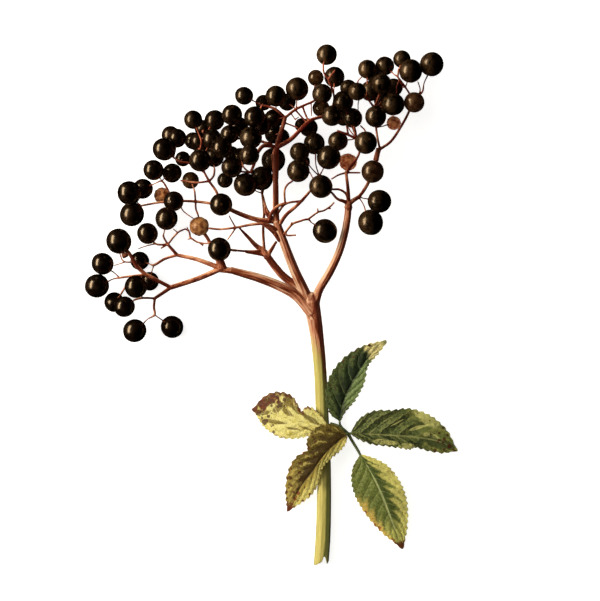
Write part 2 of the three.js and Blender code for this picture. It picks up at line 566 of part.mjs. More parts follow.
// The margin of a leaflet beside one place of its midrib, with every second row drawn out into a tooth.
function marginPoint(margin, midrib, side, row) {
  const share = row / BLADE_ROWS;
  const isEnd = row === 0 || row === BLADE_ROWS;
  const isTooth = row % 2 === 1;
  const lead = isTooth ? TOOTH_LEAD : 0;
  const point = margin.getPoint(Math.min(1, share + lead));
  const along = midrib.getTangent(share);
  const outward = new THREE.Vector3(-along.y, along.x, 0).normalize().multiplyScalar(side);
  return point.addScaledVector(outward, isEnd ? BLADE_END : (isTooth ? 0.5 : -0.5) * TOOTH_DEPTH);
}

// A leaflet as a closed blade. Its two faces are split into triangles alike.
function bladeGeometry(leaflet) {
  const midrib = curveThrough(leaflet.midrib);
  const left = curveThrough(leaflet.left);
  const right = curveThrough(leaflet.right);
  const width = BLADE_COLUMNS + 1;
  const count = (BLADE_ROWS + 1) * width;
  const positions = [];
  for (const lift of [BLADE_THICKNESS / 2, -BLADE_THICKNESS / 2]) {
    for (let row = 0; row <= BLADE_ROWS; row += 1) {
      const middle = midrib.getPoint(row / BLADE_ROWS);
      const edges = [marginPoint(left, midrib, 1, row), marginPoint(right, midrib, -1, row)];
      for (let column = 0; column < width; column += 1) {
        const across = (2 * column) / BLADE_COLUMNS - 1;
        const point = middle.clone().lerp(across < 0 ? edges[0] : edges[1], Math.abs(across));
        positions.push(point.x, point.y, point.z + lift);
      }
    }
  }
  const faces = [];
  for (let row = 0; row < BLADE_ROWS; row += 1) {
    for (let column = 0; column < BLADE_COLUMNS; column += 1) {
      const a = row * width + column;
      const [b, c, d] = [a + 1, a + width, a + width + 1];
      faces.push(a, b, d, a, d, c);
      faces.push(count + a, count + d, count + b, count + a, count + c, count + d);
    }
  }
  const rim = [];
  for (let column = 0; column < BLADE_COLUMNS; column += 1) rim.push(column);
  for (let row = 0; row < BLADE_ROWS; row += 1) rim.push(row * width + BLADE_COLUMNS);
  for (let column = BLADE_COLUMNS; column > 0; column -= 1) rim.push(BLADE_ROWS * width + column);
  for (let row = BLADE_ROWS; row > 0; row -= 1) rim.push(row * width);
  rim.forEach((from, i) => {
    const to = rim[(i + 1) % rim.length];
    faces.push(from, count + from, count + to, from, count + to, to);
  });
  const geometry = new THREE.BufferGeometry();
  geometry.setAttribute('position', new THREE.Float32BufferAttribute(positions, 3));
  geometry.setIndex(faces);
  return geometry;
}

function leafStalkSolid() {
  return joined(LEAF_STALKS.map(([rootRadius, tipRadius, ...route]) => {
    const points = route.map(([x, y, z]) => new THREE.Vector3(x, y, z));
    return stalkSolid(points, [rootRadius, tipRadius], STALK_SIDES);
  }));
}

function piece(name, geometry, colour, roughness) {
  const material = new THREE.MeshStandardMaterial({ color: COLOURS[colour], roughness, metalness: 0 });
  const mesh = new THREE.Mesh(geometry, material);
  mesh.name = name;
  return mesh;
}

const cluster = new THREE.Group();
const berries = settledBerries();
const room = stemSolid(CLEARANCE);
cluster.add(piece('stem', toGeometry(stemSolid(0)), 'stem', 0.6));
for (const name of Object.keys(SPRAYS)) {
  cluster.add(piece(name, toGeometry(spraySolid(name, berries, room)), 'berries', 0.3));
}
cluster.add(piece('leaf_stalk', toGeometry(leafStalkSolid()), 'leafStalk', 0.6));
for (const [name, leaflet] of Object.entries(LEAFLETS)) {
  cluster.add(piece(name, bladeGeometry(leaflet), leaflet.colour, 0.6));
}

export default cluster;
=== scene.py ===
"""A cut stem of black elderberries with one leaf, lying on a pale table.

Tables of places are in millimetres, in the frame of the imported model, and everything is built in metres.
+Z is up, and +Y runs from the cut end to the berries.
"""

import math
import random

import bmesh
import bpy
from mathutils import Matrix, Vector, noise
from mathutils.kdtree import KDTree


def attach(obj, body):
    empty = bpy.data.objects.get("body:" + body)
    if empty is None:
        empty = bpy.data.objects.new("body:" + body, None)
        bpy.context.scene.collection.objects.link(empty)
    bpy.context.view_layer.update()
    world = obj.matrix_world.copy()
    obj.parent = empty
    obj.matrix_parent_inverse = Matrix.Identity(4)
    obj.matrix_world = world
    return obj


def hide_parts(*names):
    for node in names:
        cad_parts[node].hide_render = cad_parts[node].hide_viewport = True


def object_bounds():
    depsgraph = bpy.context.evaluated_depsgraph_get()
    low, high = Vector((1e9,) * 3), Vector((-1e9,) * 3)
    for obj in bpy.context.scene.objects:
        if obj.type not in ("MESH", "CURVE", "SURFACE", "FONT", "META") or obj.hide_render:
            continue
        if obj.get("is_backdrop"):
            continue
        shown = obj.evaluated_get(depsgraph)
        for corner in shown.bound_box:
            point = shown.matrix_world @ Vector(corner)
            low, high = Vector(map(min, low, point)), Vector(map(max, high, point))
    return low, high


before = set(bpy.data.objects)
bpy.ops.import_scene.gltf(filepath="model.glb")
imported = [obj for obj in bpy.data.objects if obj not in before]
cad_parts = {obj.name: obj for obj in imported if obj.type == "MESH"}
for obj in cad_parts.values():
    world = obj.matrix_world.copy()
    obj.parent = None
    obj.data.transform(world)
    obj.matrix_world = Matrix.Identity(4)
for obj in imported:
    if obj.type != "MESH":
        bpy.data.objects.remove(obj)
cad_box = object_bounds()

MM = 0.001
BODY = "root"

# The stalks of the head lie on a low dome, and the layers of berries in front of it and behind it.
DOME = {"x": 4, "y": 46, "reach_x": 52, "reach_y": 44, "base": 9.5, "rise": 8}
LAYER = 5.6  # from one layer of berries to the next
BERRY_GAP = 0.4  # between a berry and its neighbours
FORK_REACH = 0.5  # a stalk this close to a berry's own fork isn't in its way
SETTLE_ROUNDS = 160
FACET_REACH = 0.9342  # from a faceted berry's middle to its flat facets, in radii: a low berry lies on one

STALK_PIECES = 6  # pieces of a stalk from one given point to the next
STEM_VOXEL = 0.2  # size of the cells in which stalks that meet grow together
SPRAY_VOXEL = 0.13
SKIN_SMOOTHINGS = 3  # how often a skin is smoothed once its stalks have grown together
SAME_PLACE = 0.02  # a stalk that ends this close to a fork ends at it
PEDICEL_RADII = (0.27, 0.22, 0.3)  # at the fork, along the pedicel and under the berry
PEDICEL_SINK = 0.12  # how deep the pedicel's tip is in the berry, in radii
PEDICEL_BOW = 0.05  # the most that a pedicel bows to either side, in its own lengths

BERRY_FULLNESS = 1.035  # a round berry reaches a little further out than its faceted solid
BERRY_LENGTH = 1.03  # from pedicel to crown, in its widths
BERRY_UNEVENNESS = 0.014  # in radii
BERRY_SEGMENTS = 22
BERRY_RINGS = 16
RING_ANGLES = (0, 4, 8, 11, 15, 22)  # polar angles, in degrees, of a berry's rings near its crown scar

# The crown scar, an eye in a low five-lobed ring, and the hollow that the pedicel stands in. Their angles are
# in degrees from the crown, and their heights in radii.
SCAR = {"edge": 16, "ring": 9, "width": 3.4, "lobes": 5, "rise": 0.018, "eye": 5, "eye_depth": 0.02}
HOLLOW = {"edge": 158, "depth": 0.06}
SHRIVELLED = 0.5  # a berry drier than this is out of shape as well

BLADE_COLUMNS = 44
BLADE_ROWS = 150
BLADE_THICKNESS = 0.45
BLADE_END = 0.3  # half the width of a leaflet at its two ends
POINT_REACH = 0.9  # how far the point of a leaflet is drawn out past its margins
POINT_FROM = 0.94  # where on its length that starts
TOOTH_DEPTH = 0.6  # from a notch to the point of a tooth, half of it on each side of the margin
TOOTH_LEAN = 0.78  # where on its length a tooth has its point
RIB_DEPTH = 0.28  # of the groove over the midrib
RIB_SHARPNESS = 14
BLADE_UNEVENNESS = 0.08

# Of each leaflet: teeth a side, side veins, how far these lean to the tip, quilting, and waves of the margin.
BLADE_FORMS = {
    "leaflet_upper": {"teeth": 17, "veins": 7, "lean": 0.3, "puff": 0.5, "wave": 0.25, "waves": 2.5},
    "leaflet_right": {"teeth": 19, "veins": 6, "lean": 0.3, "puff": 0.42, "wave": 0.35, "waves": 3},
    "leaflet_end": {"teeth": 20, "veins": 8, "lean": 0.3, "puff": 0.4, "wave": 0.25, "waves": 2.5},
    "leaflet_front": {"teeth": 20, "veins": 7, "lean": 0.3, "puff": 0.28, "wave": 0.25, "waves": 2.5},
    "leaflet_left": {"teeth": 17, "veins": 6, "lean": 0.3, "puff": 0.3, "wave": 0.25, "waves": 2},
}

# The cut stem from its cut end to the crown: x, y, z and radius.
PEDUNCLE = [
    [16.3, -83.4, 2.5, 2.5],
    [16.9, -74, 2.75, 2.45],
    [17.2, -62, 3.35, 2.35],
    [17.2, -50, 4.05, 2.2],
    [16.6, -35, 5.2, 2.1],
    [15.9, -20, 6.6, 2.05],
    [14.9, -10, 7.8, 2.2],
    [14, -4, 8.8, 2.45],
    [13, 1.3, 9.6, 2.75],
    [12.75, 3.6, 9.9, 1.7],
]

# A stalk is its radii at root and tip, then its points. A point is x, y and its height above the dome,
# which is 0 where it is left out.
RAYS = [
    [
        2.0, 1.12, [13.4, -2.5, 0.3], [8.6, 3, 0.6], [3, 6.2, 0.6], [-4, 8.9, 0.6], [-9, 10.3, 0.6],
        [-13, 11.4, 0.6],
    ],
    [1.45, 1.15, [12.4, 1.5, -1], [7.2, 6.8, -2.8], [3.7, 9.8, -3.6], [1, 13, -4.2], [-1, 15.8, -4.4]],
    [1.85, 1.28, [13.2, -1], [10.8, 4.6], [8.1, 10.3], [5.8, 16], [3.6, 22], [1.8, 27]],
    [1.1, 0.92, [1.9, 26.4], [1.7, 31], [1.7, 36], [1.65, 40.4]],
    [0.92, 1.38, [1.65, 39.6], [1.6, 44], [1.5, 48.4]],
    [
        1.5, 1.12, [13.8, -2, 0.2], [15.4, 4.6], [18.9, 10.6], [21.9, 17], [23.7, 23], [24.6, 28],
        [24.9, 31.2],
    ],
]

# A spray has stalks, and forks. A fork is the point where pedicels start, then the berries on them: x, y,
# layer and diameter. Layer 1 is in front of the stalks and -1 behind them.
SPRAYS = {
    "spray_left": {
        "stalks": [
            [1.05, 1.0, [-12, 11.1, 0.6], [-16.5, 11.6, 0.6]],
            [0.95, 0.8, [-16.5, 11.6, 0.6], [-20, 10, 0.2], [-24, 8.4], [-32, 5.8]],
            [0.62, 0.7, [-32, 5.8], [-36.5, 8.1, 0.4], [-40, 9.9, 0.8]],
            [0.68, 0.64, [-40, 9.9, 0.8], [-42.9, 12.6, 1.4], [-44.5, 15.5, 2], [-46.2, 17.7, 2]],
            [0.45, 0.38, [-40, 9.9, 0.8], [-44, 9.5, 0.4], [-48.5, 8.9]],
            [0.4, 0.34, [-40, 9.9, 0.8], [-44.8, 8.4, -1.4], [-48, 3.9, -2.6]],
            [0.65, 0.55, [-32, 5.8], [-37.2, 2.3, -0.4]],
            [0.4, 0.36, [-37.2, 2.3, -0.4], [-41, 2.4, 0.4], [-43.8, 1.8]],
            [0.46, 0.42, [-37.2, 2.3, -0.4], [-37.5, -0.5, -1], [-37.3, -3, -1.6]],
            [0.9, 0.6, [-16.2, 12, 0.6], [-20, 13.5, 0.2], [-24, 14.9], [-30, 16.2, -0.6]],
            [0.5, 0.45, [-30, 16.2, -0.6], [-34, 15, -1.4], [-37.5, 13, -2]],
            [0.6, 0.5, [-30, 16.2, -0.6], [-33, 19.6]],
            [0.38, 0.34, [-33, 19.6], [-36.4, 19.6, 0.4], [-37.9, 20.6, 0.6]],
            [0.38, 0.34, [-33, 19.6], [-34.4, 22.2, -0.4]],
            [0.36, 0.3, [-33, 19.6], [-29.8, 23.4, -2], [-27.4, 24.6, -3]],
        ],
        "forks": [
            [[-37.3, -3, -1.6], [-43.7, -8.1, -0.3, 7.2], [-31.8, -6.9, -1.2, 7]],
            [[-48.5, 8.9], [-55.8, 6.3, -0.2, 7.4], [-53.9, 13.4, 0.2, 6.8]],
            [[-46.2, 17.7, 2], [-48.6, 20.6, 0.7, 7.8]],
            [[-41, 2.4, 0.4], [-43.1, 6, 0.9, 7]],
            [[-48, 3.9, -2.6], [-50.5, 1.1, -1.3, 6.2]],
            [[-43.8, 1.8], [-46.9, -0.4, 0.2, 6.4]],
            [[-37.5, 13, -2], [-42.2, 14.4, -1, 5.8], [-39, 7.8, -1, 5.8]],
            [[-37.9, 20.6, 0.6], [-39.5, 23.1, 0.2, 6.5]],
            [[-34.4, 22.2, -0.4], [-33.4, 27.9, -0.3, 7]],
            [[-16, 12.1, 0.6], [-16.4, 18, 0.2, 7.2]],
        ],
    },
    "spray_back": {
        "stalks": [
            [1.0, 0.8, [-0.5, 15, -4.4], [-2, 17.6, -5]],
            [0.46, 0.36, [-2, 17.6, -5], [-7, 17.4, -3.4], [-12.1, 17.7, -0.6]],
            [1.0, 0.42, [-2, 17.6, -5], [-4.4, 19, -5], [-7, 21.7, -3.6], [-9.2, 24, -2.6]],
            [0.5, 0.42, [-2, 17.6, -5], [-2.4, 24, -6], [-2.1, 30, -6], [-2.7, 36, -5]],
            [0.4, 0.34, [-2.7, 36, -5], [-0.6, 42.5, -9]],
        ],
        "forks": [
            [[-2.7, 36, -5], [-2.9, 40.7, -0.4, 7.2], [-8, 38.6, -0.2, 7.2]],
            [[-0.6, 42.5, -9], [0.9, 46.7, -1.2, 7.5]],
        ],
    },
    "spray_centre_left": {
        "stalks": [
            [0.95, 0.66, [1.6, 27], [-4, 27.4, 0], [-10, 29.4, 0.2], [-15.8, 32.2, -0.4]],
            [0.5, 0.42, [-15.8, 32.2, -0.4], [-24, 33.3, -0.6], [-31.5, 33.6, -1]],
            [0.4, 0.36, [-31.5, 33.6, -1], [-36, 33, -0.6], [-41.5, 32]],
            [0.38, 0.34, [-31.5, 33.6, -1], [-33.2, 37.6], [-34.8, 39.8, 0.8]],
            [0.36, 0.34, [-24, 33.3, -0.6], [-23.9, 31, -0.4], [-23.2, 29]],
            [0.36, 0.34, [-24, 33.3, -0.6], [-24.3, 36.6, 0.4]],
            [0.5, 0.42, [-15.8, 32.2, -0.4], [-17.2, 36.2, 0.4], [-19.6, 39.7, 0.8]],
            [0.38, 0.34, [-19.6, 39.7, 0.8], [-24, 39.3, 1.4], [-28.8, 40, 1]],
            [0.42, 0.38, [-19.6, 39.7, 0.8], [-21.2, 42.6, 0.2]],
            [0.38, 0.36, [-19.6, 39.7, 0.8], [-18.2, 41.4], [-17.9, 43.4, -0.6]],
            [0.4, 0.36, [-21.2, 42.6, 0.2], [-22.2, 46, -0.8], [-22.4, 49.5, 1.6], [-22, 52.5, 3.6]],
            [0.36, 0.34, [-21.2, 42.6, 0.2], [-26, 45.5, 0.8], [-28.8, 46, 2], [-31, 47.3, 2.4]],
        ],
        "forks": [
            [[-41.5, 32], [-44.5, 29.3, 0, 7.5], [-45.2, 36, 0.7, 7.4]],
            [
                [-34.8, 39.8, 0.8], [-41.1, 37.5, -0.4, 6.3], [-37.4, 43.3, 0.6, 6.3],
                [-31.6, 42.5, -0.5, 6],
            ],
            [[-33.2, 37.6], [-35, 35.4, -1, 5]],
            [[-28.5, 33.5, -0.8], [-30.9, 33.3, 1, 6.2]],
            [[-24.3, 36.6, 0.4], [-25.7, 40.2, -0.9, 5.3]],
            [[-15.8, 32.2, -0.4], [-15.7, 32.2, 1, 7]],
            [[-21.2, 42.6, 0.2], [-22.4, 46.2, 1.2, 6.9]],
            [[-17.9, 43.4, -0.6], [-18.1, 47.6, -0.2, 6.2], [-20.5, 50.2, -1.6, 6.4]],
            [[-28.8, 46, 2], [-28.2, 47.1, -0.9, 4.8]],
            [[-31, 47.3, 2.4], [-34, 49.9, 0.7, 7], [-29.9, 53.6, 0, 5.8], [-32.2, 54.8, -0.8, 5.6]],
            [[-22.4, 49.5, 1.6], [-25, 53, -0.8, 5.4]],
            [[-22, 52.5, 3.6], [-24.7, 59.4, 0.4, 5.7], [-17.9, 59.3, 0, 6.3], [-21.8, 57.1, -2.2, 5.4]],
            [[-22.2, 46, -0.8], [-23, 52.4, 0, 6], [-18.8, 53.2, 0.1, 6.2]],
        ],
    },
    "spray_low": {
        "stalks": [
            [0.6, 0.4, [2.5, 24.2, 0.6], [-1.6, 26, 2], [-5, 26, 2], [-8, 25.5, 1.7], [-10.5, 25, 1.4]],
            [0.4, 0.36, [-10.5, 25, 1.4], [-16, 24.4, 0.8], [-19.5, 24.7, 0.4]],
        ],
        "forks": [
            [[-19.5, 24.7, 0.4], [-22.8, 25.4, 0, 6]],
        ],
    },
    "spray_centre": {
        "stalks": [
            [1.2, 0.95, [1.5, 47.4], [1.9, 50.4, 0.2]],
            [
                0.6, 0.5, [1.9, 50.4, 0.2], [-1.4, 51.2, 1.6], [-3.7, 49.4, 2.4], [-5, 45.6, 2.8],
                [-6.3, 42.4, 2.2],
            ],
            [0.38, 0.34, [-6.3, 42.4, 2.2], [-9.6, 42.8, 1.8]],
            [0.36, 0.32, [-6.3, 42.4, 2.2], [-7.6, 43.2, 0], [-8.8, 44.6, -2.5]],
            [0.85, 0.62, [1.9, 50.4, 0.2], [3.2, 55, 0.8], [4.7, 60, 0.8]],
            [0.5, 0.42, [4.7, 60, 0.8], [1.6, 62.7, 1.4], [-2.5, 63.8, 1.4]],
            [0.5, 0.4, [4.7, 60, 0.8], [8.2, 62.7, 1.6], [14, 65.4, 1.2]],
            [0.8, 0.52, [1.9, 50.4, 0.2], [6.5, 53, 1.8], [10, 56.5, 2.6], [13, 59.2, 2], [17, 60.4, 0.6]],
            [0.36, 0.34, [10.2, 63.8, 1.5], [11, 61.5, 1.8], [12.2, 58.8, 2.2]],
            [0.5, 0.42, [1.9, 50.4, 0.2], [-3, 52.6, -3.4], [-8.4, 53.6, -3.4], [-12.6, 53, -2]],
            [0.42, 0.36, [17, 60.4, 0.6], [19.8, 63.8, -1], [20.3, 67.2, 1], [18.5, 72.2, 3]],
            [0.34, 0.32, [18.5, 72.2, 3], [17.1, 74.4, 3], [16.9, 77, 1.6]],
            [0.34, 0.3, [18.5, 72.2, 3], [20.7, 75.2, 3.6]],
        ],
        "forks": [
            [[-9.6, 42.8, 1.8], [-12.3, 44, 0.9, 6.4]],
            [[-5, 45.6, 2.8], [-6.6, 47.6, 1.7, 6.2]],
            [
                [-8.8, 44.6, -2.5], [-9.7, 47.8, -1.2, 5.4], [-12.6, 48.8, -2.4, 5],
                [-14.6, 40.2, -0.8, 4.8],
            ],
            [[-8.4, 53.6, -3.4], [-6.2, 53.3, 1, 7], [-10.3, 57.2, -0.4, 6.2], [-3, 57.5, 0.1, 6]],
            [[-12.6, 53, -2], [-15.5, 50.2, 0.8, 6.6], [-13, 54.6, 0.6, 5.8], [-12.2, 60.7, 0.8, 6.4]],
            [[3.2, 55, 0.8], [1.2, 55, -0.9, 6], [3.3, 54.3, -1.4, 5.4]],
            [[4.7, 60, 0.8], [1, 59.8, -0.4, 6]],
            [[-2.5, 63.8, 1.4], [-5, 60, 1, 6.6], [-8.4, 67, 0.4, 5.6], [-2.3, 65, -0.7, 5]],
            [[1.6, 62.7, 1.4], [1.7, 66.8, 0.7, 6.4]],
            [[8.2, 62.7, 1.6], [8.5, 69.2, 0.3, 7.1], [5.3, 65.2, -0.8, 5.4]],
            [[10, 56.5, 2.6], [12.2, 57.2, -1.4, 5.8], [10, 57.8, -0.9, 4.4]],
            [[14, 65.4, 1.2], [16.5, 67.5, 0.9, 6.2], [14.5, 73, -0.4, 5]],
            [[17, 60.4, 0.6], [19.6, 60.4, 1.3, 6.4], [16.2, 63.2, -0.3, 5.4]],
            [[16.9, 77, 1.6], [18, 80.4, 0, 6.4]],
            [[20.3, 67.2, 1], [20.5, 73.4, -0.7, 6.4]],
        ],
    },
    "spray_side": {
        "stalks": [
            [0.44, 0.38, [3.9, 22.2], [4.8, 23.4, 1.2], [7, 26, 2.2], [9, 26.8, 2.4], [12, 27.5, 2.6]],
            [
                0.36, 0.3, [12, 27.5, 2.6], [15.2, 29.8, 2.2], [17, 30.3, 1.6], [19.3, 31.8, 1.4],
                [20.4, 33, 1.4],
            ],
        ],
        "forks": [
            [[12, 27.5, 2.6], [17.4, 23.8, 0.4, 7.5]],
        ],
    },
    "spray_centre_front": {
        "stalks": [
            [0.7, 0.5, [2.6, 25.4], [5, 28.9, 1.8], [8, 31.5, 2.2], [10, 33.4, 2.2]],
            [0.55, 0.45, [10, 33.4, 2.2], [12.4, 36.2, 1.4]],
            [0.42, 0.38, [1.8, 28.6], [4.8, 32.4, 1.8], [10, 33.4, 2.2]],
            [0.38, 0.34, [4.7, 32.5, 1.8], [4.5, 36.5, 2.2], [5.3, 38.4, 2.2], [7.2, 39.9, 2]],
            [0.4, 0.36, [12.4, 36.2, 1.4], [14.4, 38.8, -1], [15.6, 41.3, 0]],
        ],
        "forks": [
            [[7.2, 39.9, 2], [8.9, 42.9, 0.9, 7]],
            [[15.6, 41.3, 0], [18.6, 47.2, 0.9, 7.4], [9.3, 48.9, 0.2, 6], [14, 51.8, -0.1, 6.6]],
            [[14.4, 38.8, -1], [10.4, 46.2, -1.6, 4.4]],
        ],
    },
    "spray_right": {
        "stalks": [
            [1.2, 1.1, [24.9, 30.4], [25, 32.8]],
            [0.68, 0.5, [25, 32.8], [24.8, 37, 1.6], [24.2, 42.4, 2.6]],
            [0.46, 0.36, [24.2, 42.4, 2.6], [27.3, 46.5, 3], [28.6, 50, -0.6], [27.5, 53.4, 0]],
            [0.55, 0.4, [25, 32.8], [21.5, 34, 1.2], [19.6, 36, 2]],
            [0.62, 0.5, [25, 32.8], [28.2, 34.7, -0.4], [31.4, 39.5, -1], [33.6, 45.5, -0.6], [35, 50]],
            [0.5, 0.4, [35, 50], [38.5, 52.5, 0.6], [41.6, 57, 1], [44.4, 62.2, 0.6], [45.6, 66.4, -1]],
            [0.4, 0.36, [35, 50], [34.2, 54, 0.4], [33.8, 57, -0.6], [33.2, 63.4, 0]],
            [0.36, 0.34, [45.6, 66.4, -1], [48.6, 68.4, 0.6]],
            [0.36, 0.34, [45.6, 66.4, -1], [43.2, 70, 1.4], [40.8, 73.2, 2]],
            [0.4, 0.34, [33.2, 63.4, 0], [30.6, 66.7, 1.6]],
        ],
        "forks": [
            [[28.2, 34.7, -0.4], [34.9, 33.4, 0, 7.2], [32, 26.6, 0.2, 7.8]],
            [[31.4, 39.5, -1], [32.6, 42.7, 1, 7]],
            [[19.6, 36, 2], [16.1, 37.9, 1, 7.2]],
            [[24.2, 42.4, 2.6], [24.9, 46.1, -1.2, 5.6]],
            [[28.6, 50, -0.6], [30.4, 51.9, 1, 7]],
            [
                [27.5, 53.4, 0], [21.6, 52.6, 0, 6], [26.3, 60, 0, 6], [23.2, 65.1, 0, 6.4],
                [23.4, 60.4, -2.4, 4.8],
            ],
            [[33.8, 57, -0.6], [33.6, 60.3, 0.7, 6.6], [39.5, 58.6, -0.6, 4.4]],
            [[33.2, 63.4, 0], [35.5, 70.8, 0.8, 6.2], [39.2, 64.3, 0.8, 7], [36.5, 66.4, -2.2, 6.4]],
            [
                [30.6, 66.7, 1.6], [27.7, 68.2, 0.9, 5.6], [32, 68.8, -0.2, 6.4], [31, 75.8, 0, 5.8],
                [25, 69.8, -0.5, 5.2], [33.7, 73.9, -2.2, 5],
            ],
            [[45.6, 66.4, -1], [46, 65, 0.8, 6.4]],
            [[43.2, 70, 1.4], [39.5, 70, -0.2, 5.6], [44.9, 75.1, 0.7, 7.2]],
            [[40.8, 73.2, 2], [36.7, 77, -0.2, 5.8], [42.2, 79.2, -0.3, 5.5]],
            [[48.6, 68.4, 0.6], [51.7, 77.4, 0.3, 7.4]],
        ],
    },
}

# The leaf's stalk and the short stalk of its upper leaflet: radii at root and tip, then x, y and z.
LEAF_STALKS = [
    [
        0.68, 0.48, [19.1, -38.1, 6.9], [22, -39, 7.3], [24.8, -41.2, 7.1], [26, -43.2, 6.7],
        [28.3, -47, 6.1],
    ],
    [0.42, 0.36, [23.8, -40.3, 7.2], [22.5, -38.6, 7.6], [22.2, -37.7, 7.9]],
]

# A leaflet's midrib and its two margins, left and right of it as it grows, from base to tip: x, y and z.
LEAFLETS = {
    "leaflet_upper": {
        "midrib": [
            [22.2, -37, 8.1], [23.2, -31.2, 8.5], [25.9, -25.2, 8.4], [29.2, -19.8, 7.4], [32.2, -16, 5.9],
            [36.7, -11.8, 3.6],
        ],
        "left": [
            [22, -36.9, 8.1], [19.4, -35.1, 8.9], [17.9, -31, 9.8], [18, -25.8, 9.9], [19.9, -21.1, 9.4],
            [23.6, -16.8, 8.4], [28.2, -13.7, 6.8], [32.6, -12.1, 5], [36.6, -11.6, 3.6],
        ],
        "right": [
            [22.4, -36.9, 8.1], [24.2, -33.8, 8.9], [26.6, -31.2, 9.3], [28.6, -28, 9], [30.2, -24.6, 8.5],
            [30.9, -20.6, 7.4], [32.2, -18.1, 6.4], [34.8, -15.4, 5], [36.9, -12.2, 3.6],
        ],
    },
    "leaflet_right": {
        "midrib": [
            [26, -41, 7.1], [33, -41.5, 7.1], [40.5, -42, 6.3], [48, -42.7, 4.8], [55, -44.2, 2.4],
            [59.7, -46.6, 0.37],
        ],
        "left": [
            [25.9, -40.7, 7.1], [28.6, -36.4, 6.9], [33.4, -33.9, 6.3], [39, -33.7, 5.6], [44.2, -33.2, 4.7],
            [49.4, -34.5, 3.7], [53.6, -37, 2.6], [57.4, -41.2, 1.4], [59.8, -46.4, 0.37],
        ],
        "right": [
            [25.9, -41.2, 7.1], [28.8, -43.3, 6.7], [33, -44.7, 6.2], [37.5, -45.2, 5.7], [41.5, -45.9, 5.1],
            [44.7, -46.3, 4.6], [46.4, -45.6, 4.3], [50.6, -46.8, 3.3], [55.5, -47.6, 1.9],
            [59.8, -46.8, 0.37],
        ],
    },
    "leaflet_end": {
        "midrib": [
            [28.9, -48.2, 5.9], [32.4, -54, 6.1], [35.6, -60.6, 5.5], [37.9, -66.6, 4.4], [40, -72.2, 2.6],
            [42.3, -78, 0.37],
        ],
        "left": [
            [29.2, -48.1, 5.9], [33.4, -49.2, 5.9], [37.6, -51.6, 5.6], [40.6, -55.1, 5.1], [42.7, -59, 4.5],
            [43.9, -63.4, 3.8], [44.2, -68.4, 2.7], [43.8, -73.4, 1.5], [42.6, -77.8, 0.37],
        ],
        "right": [
            [28.7, -48.4, 5.9], [26.6, -51.8, 5.6], [26, -56.4, 5.2], [27.2, -61.3, 4.7], [29.5, -65.6, 4],
            [33.1, -70.3, 2.8], [37.4, -74.6, 1.6], [42, -78, 0.37],
        ],
    },
    "leaflet_front": {
        "midrib": [
            [24.3, -41.6, 8.6], [20.4, -44.8, 9.2], [17, -48.2, 9], [13.6, -53, 7.8], [10, -57.8, 5.6],
            [5.7, -65.8, 2],
        ],
        "left": [
            [24.6, -41.9, 8.6], [23.8, -44.9, 8.6], [21.3, -47.5, 8.3], [18.3, -50.1, 7.7],
            [16.4, -52.9, 7.1], [15.4, -56.9, 6.3], [13.1, -61, 4.8], [9.6, -63.8, 3.2], [6, -65.8, 2],
        ],
        "right": [
            [24.1, -41.3, 8.6], [21.4, -38.7, 9.4], [17.6, -38, 9.9], [14, -39.7, 10], [11.6, -43.6, 9.7],
            [11.7, -46.4, 9.2], [8, -48.9, 8], [5.6, -53.4, 6.4], [4.8, -58.8, 4.6], [5, -63.2, 2.8],
            [5.6, -65.8, 2],
        ],
    },
    "leaflet_left": {
        "midrib": [[18, -38.6, 8.05], [12.6, -37.8, 7.9], [7, -37, 6.5], [0.6, -35.4, 3.8], [-5.4, -33.7, 1]],
        "left": [
            [18, -38.9, 8.05], [15.4, -41.2, 7.8], [11.4, -42.2, 7.2], [7.6, -42.8, 6.1], [3.4, -42.6, 4.6],
            [-0.2, -40.8, 3], [-2.6, -38.6, 2], [-4.2, -36, 1.3], [-5.4, -34, 1],
        ],
        "right": [
            [18, -38.3, 8.1], [16.6, -35.6, 8.1], [13.8, -33.1, 7.6], [11.4, -32.6, 7.3], [10.1, -34.2, 7.1],
            [8.8, -32, 6.7], [6.9, -29.2, 6], [3.6, -27.9, 5.2], [-0.2, -28.3, 3.6], [-3.4, -30.6, 2],
            [-5.4, -33.5, 1],
        ],
    },
}

